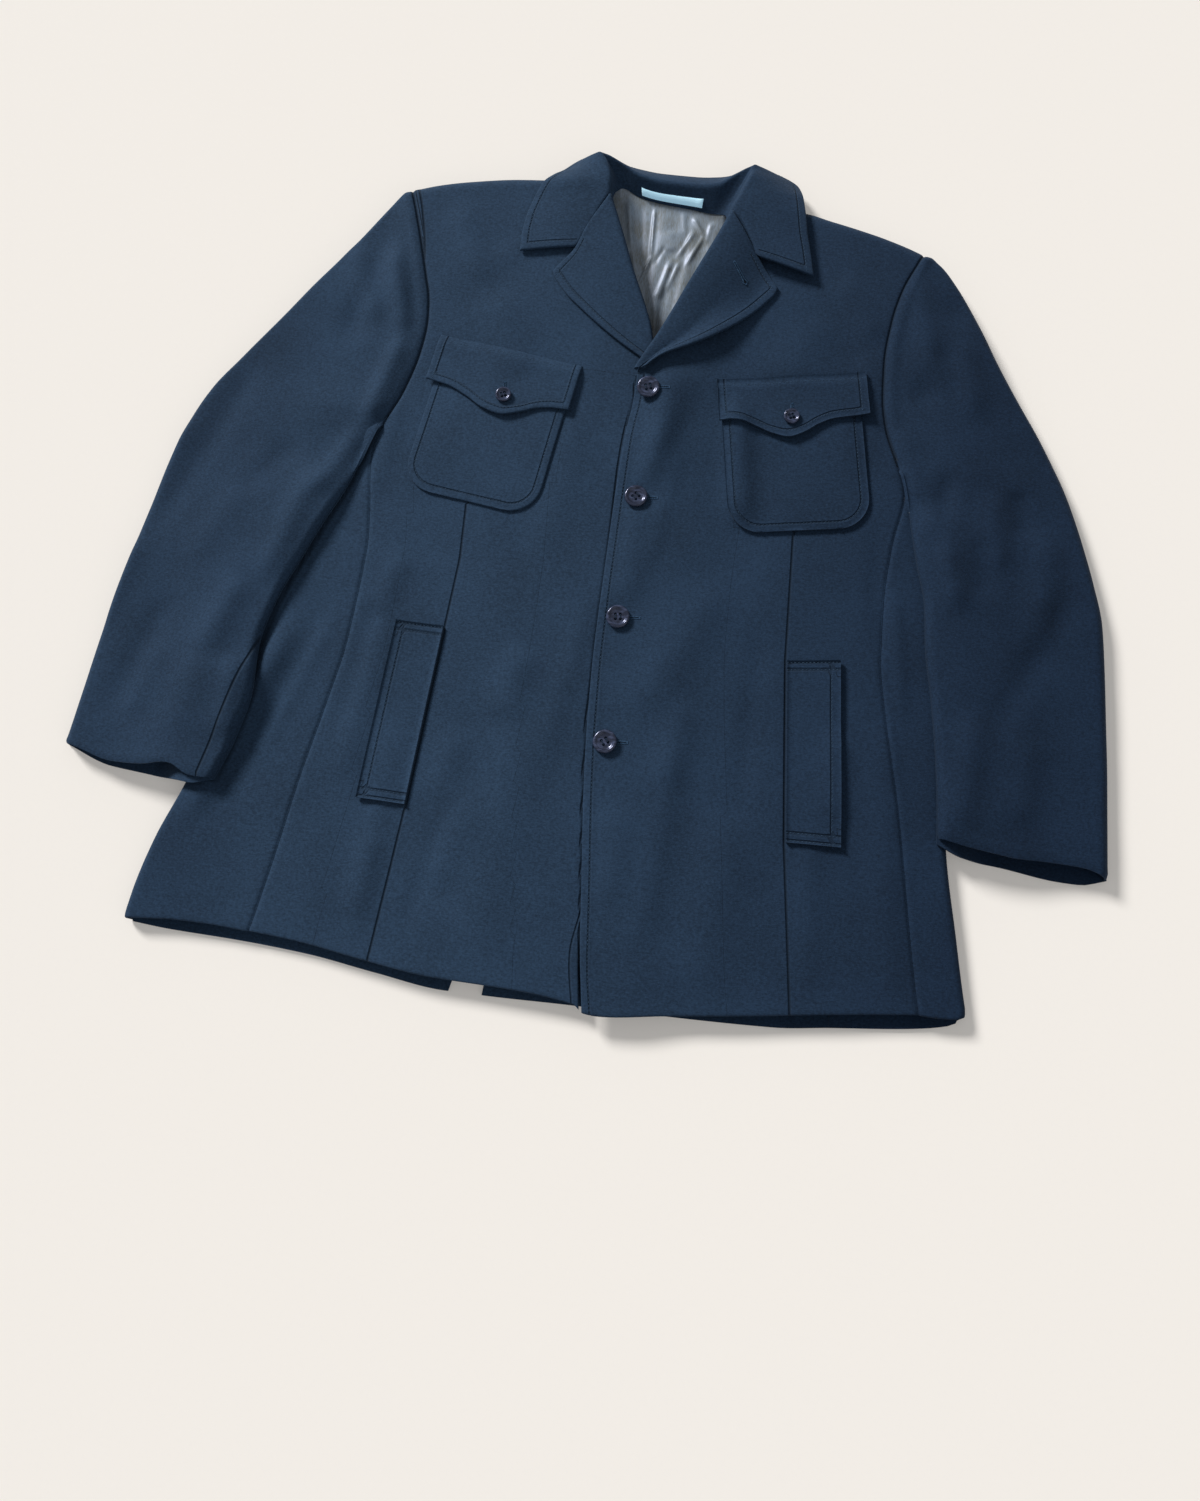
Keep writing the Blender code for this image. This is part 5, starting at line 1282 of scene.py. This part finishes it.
# ---------------------------------------------------------------- put together
# the right front closes up to the left one towards the hem
right_edge = [(y, x + 3.2 * min(1.0, max(0.0, (-250.0 - y) / 60.0))) for y, x in RIGHT_EDGE]
right_grid, right_surface = build_front(
    "right", -1, right_edge, RIGHT_SIDE, RIGHT_TOP, top_height, DART_RIGHT, 181.0)
left_grid, left_surface = build_front(
    "left", 1, LEFT_EDGE, LEFT_SIDE, LEFT_TOP, lap_height, DART_LEFT, 166.0)
build_back("right", -1, right_under, BACK_ARM_RIGHT, 1)
build_back("left", 1, left_under, BACK_ARM_LEFT, 2)
build_side("right", -1, RIGHT_SIDE, right_fold, right_under, 100.0)
build_side("left", 1, LEFT_SIDE, left_fold, left_under, 103.0)
build_sleeve("right", -1, SLEEVE_RIGHT, right_grid, 340.4, SLEEVE_FOLDS_RIGHT, CUFF_TOP_RIGHT, CUFF_LOW_RIGHT)
build_sleeve("left", 1, SLEEVE_LEFT, left_grid, 313.2, SLEEVE_FOLDS_LEFT, CUFF_TOP_LEFT, CUFF_LOW_LEFT)
build_lining()
build_lapel("right", -1, LAPEL_RIGHT, right_grid, right_surface)
lapel_left = build_lapel("left", 1, LAPEL_LEFT, left_grid, left_surface)
build_collar()
flap_surfaces = {"right": build_pockets("right", -1, right_surface, FLAP_EDGE_RIGHT),
                 "left": build_pockets("left", 1, left_surface, FLAP_EDGE_LEFT)}
for number, (x, y) in enumerate(FRONT_BUTTONS):
    name = "front_button_%d" % (number + 1)
    buttonhole(name, left_surface, (x + 1.0, y + 0.6), (x + 18.0, y + 1.4))
    button(name, x, y, left_surface, BUTTON_D, BUTTON_T, FRONT_TILTS[number])
for side, surface in flap_surfaces.items():
    x, y = FLAP_BUTTONS[side]
    buttonhole("flap_" + side, surface, (x, y - 1.0), (x - 0.4, y + 12.5))
    button("flap_button_" + side, x, y, surface, FLAP_BUTTON_D, FLAP_BUTTON_T, FLAP_TILT)
buttonhole("lapel", surface_of(lapel_left), *LAPEL_HOLE, 1.0)


# ---------------------------------------------------------------- floor, light, camera
bpy.ops.mesh.primitive_plane_add(size=6.0, location=(0, 0, -0.0004))
floor = bpy.context.object
floor.name = "floor"
paper = Looks("floor_paper")
pale = paper.mix(paper.noise(220.0, 3.0), FLOOR_LOW, FLOOR_HIGH)
floor.data.materials.append(paper.done(
    Base_Color=pale, Emission_Color=pale, Emission_Strength=FLOOR_GLOW, Roughness=0.95, Specular_IOR_Level=0.1))

world = bpy.data.worlds.new("studio")
world.use_nodes = True
world.node_tree.nodes["Background"].inputs["Color"].default_value = (0.97, 0.985, 1.0, 1.0)
world.node_tree.nodes["Background"].inputs["Strength"].default_value = WORLD_LIGHT
bpy.context.scene.world = world
for name, place, angle, power, tint in LIGHTS:
    data = bpy.data.lights.new(name, "SUN")
    data.angle = math.radians(angle)
    data.energy = power
    data.color = tint
    lamp = bpy.data.objects.new(name, data)
    lamp.location = place
    lamp.rotation_euler = Vector(place).to_track_quat("Z", "Y").to_euler()
    bpy.context.scene.collection.objects.link(lamp)
bpy.context.scene.view_settings.view_transform = "Standard"

# Camera: focal length and shift over the picture's height, place and axes
SENSOR = 36.0
PICTURE_HEIGHT = 1501.0
camera_data = bpy.data.cameras.new("camera")
camera_data.sensor_width = SENSOR
camera_data.lens = 1400.0 / PICTURE_HEIGHT * SENSOR
camera_data.shift_y = -150.5 / PICTURE_HEIGHT
camera = bpy.data.objects.new("camera", camera_data)
right_axis = Vector((0.99092, 0.12235, -0.05579)).normalized()
forward = Vector((-0.08825, 0.27873, -0.95630)).normalized()
turn = Matrix((right_axis, right_axis.cross(forward), -forward)).transposed().to_4x4()
camera.matrix_world = Matrix.Translation(Vector((0.08822, -0.39236, 1.18276))) @ turn
bpy.context.scene.collection.objects.link(camera)
bpy.context.scene.camera = camera
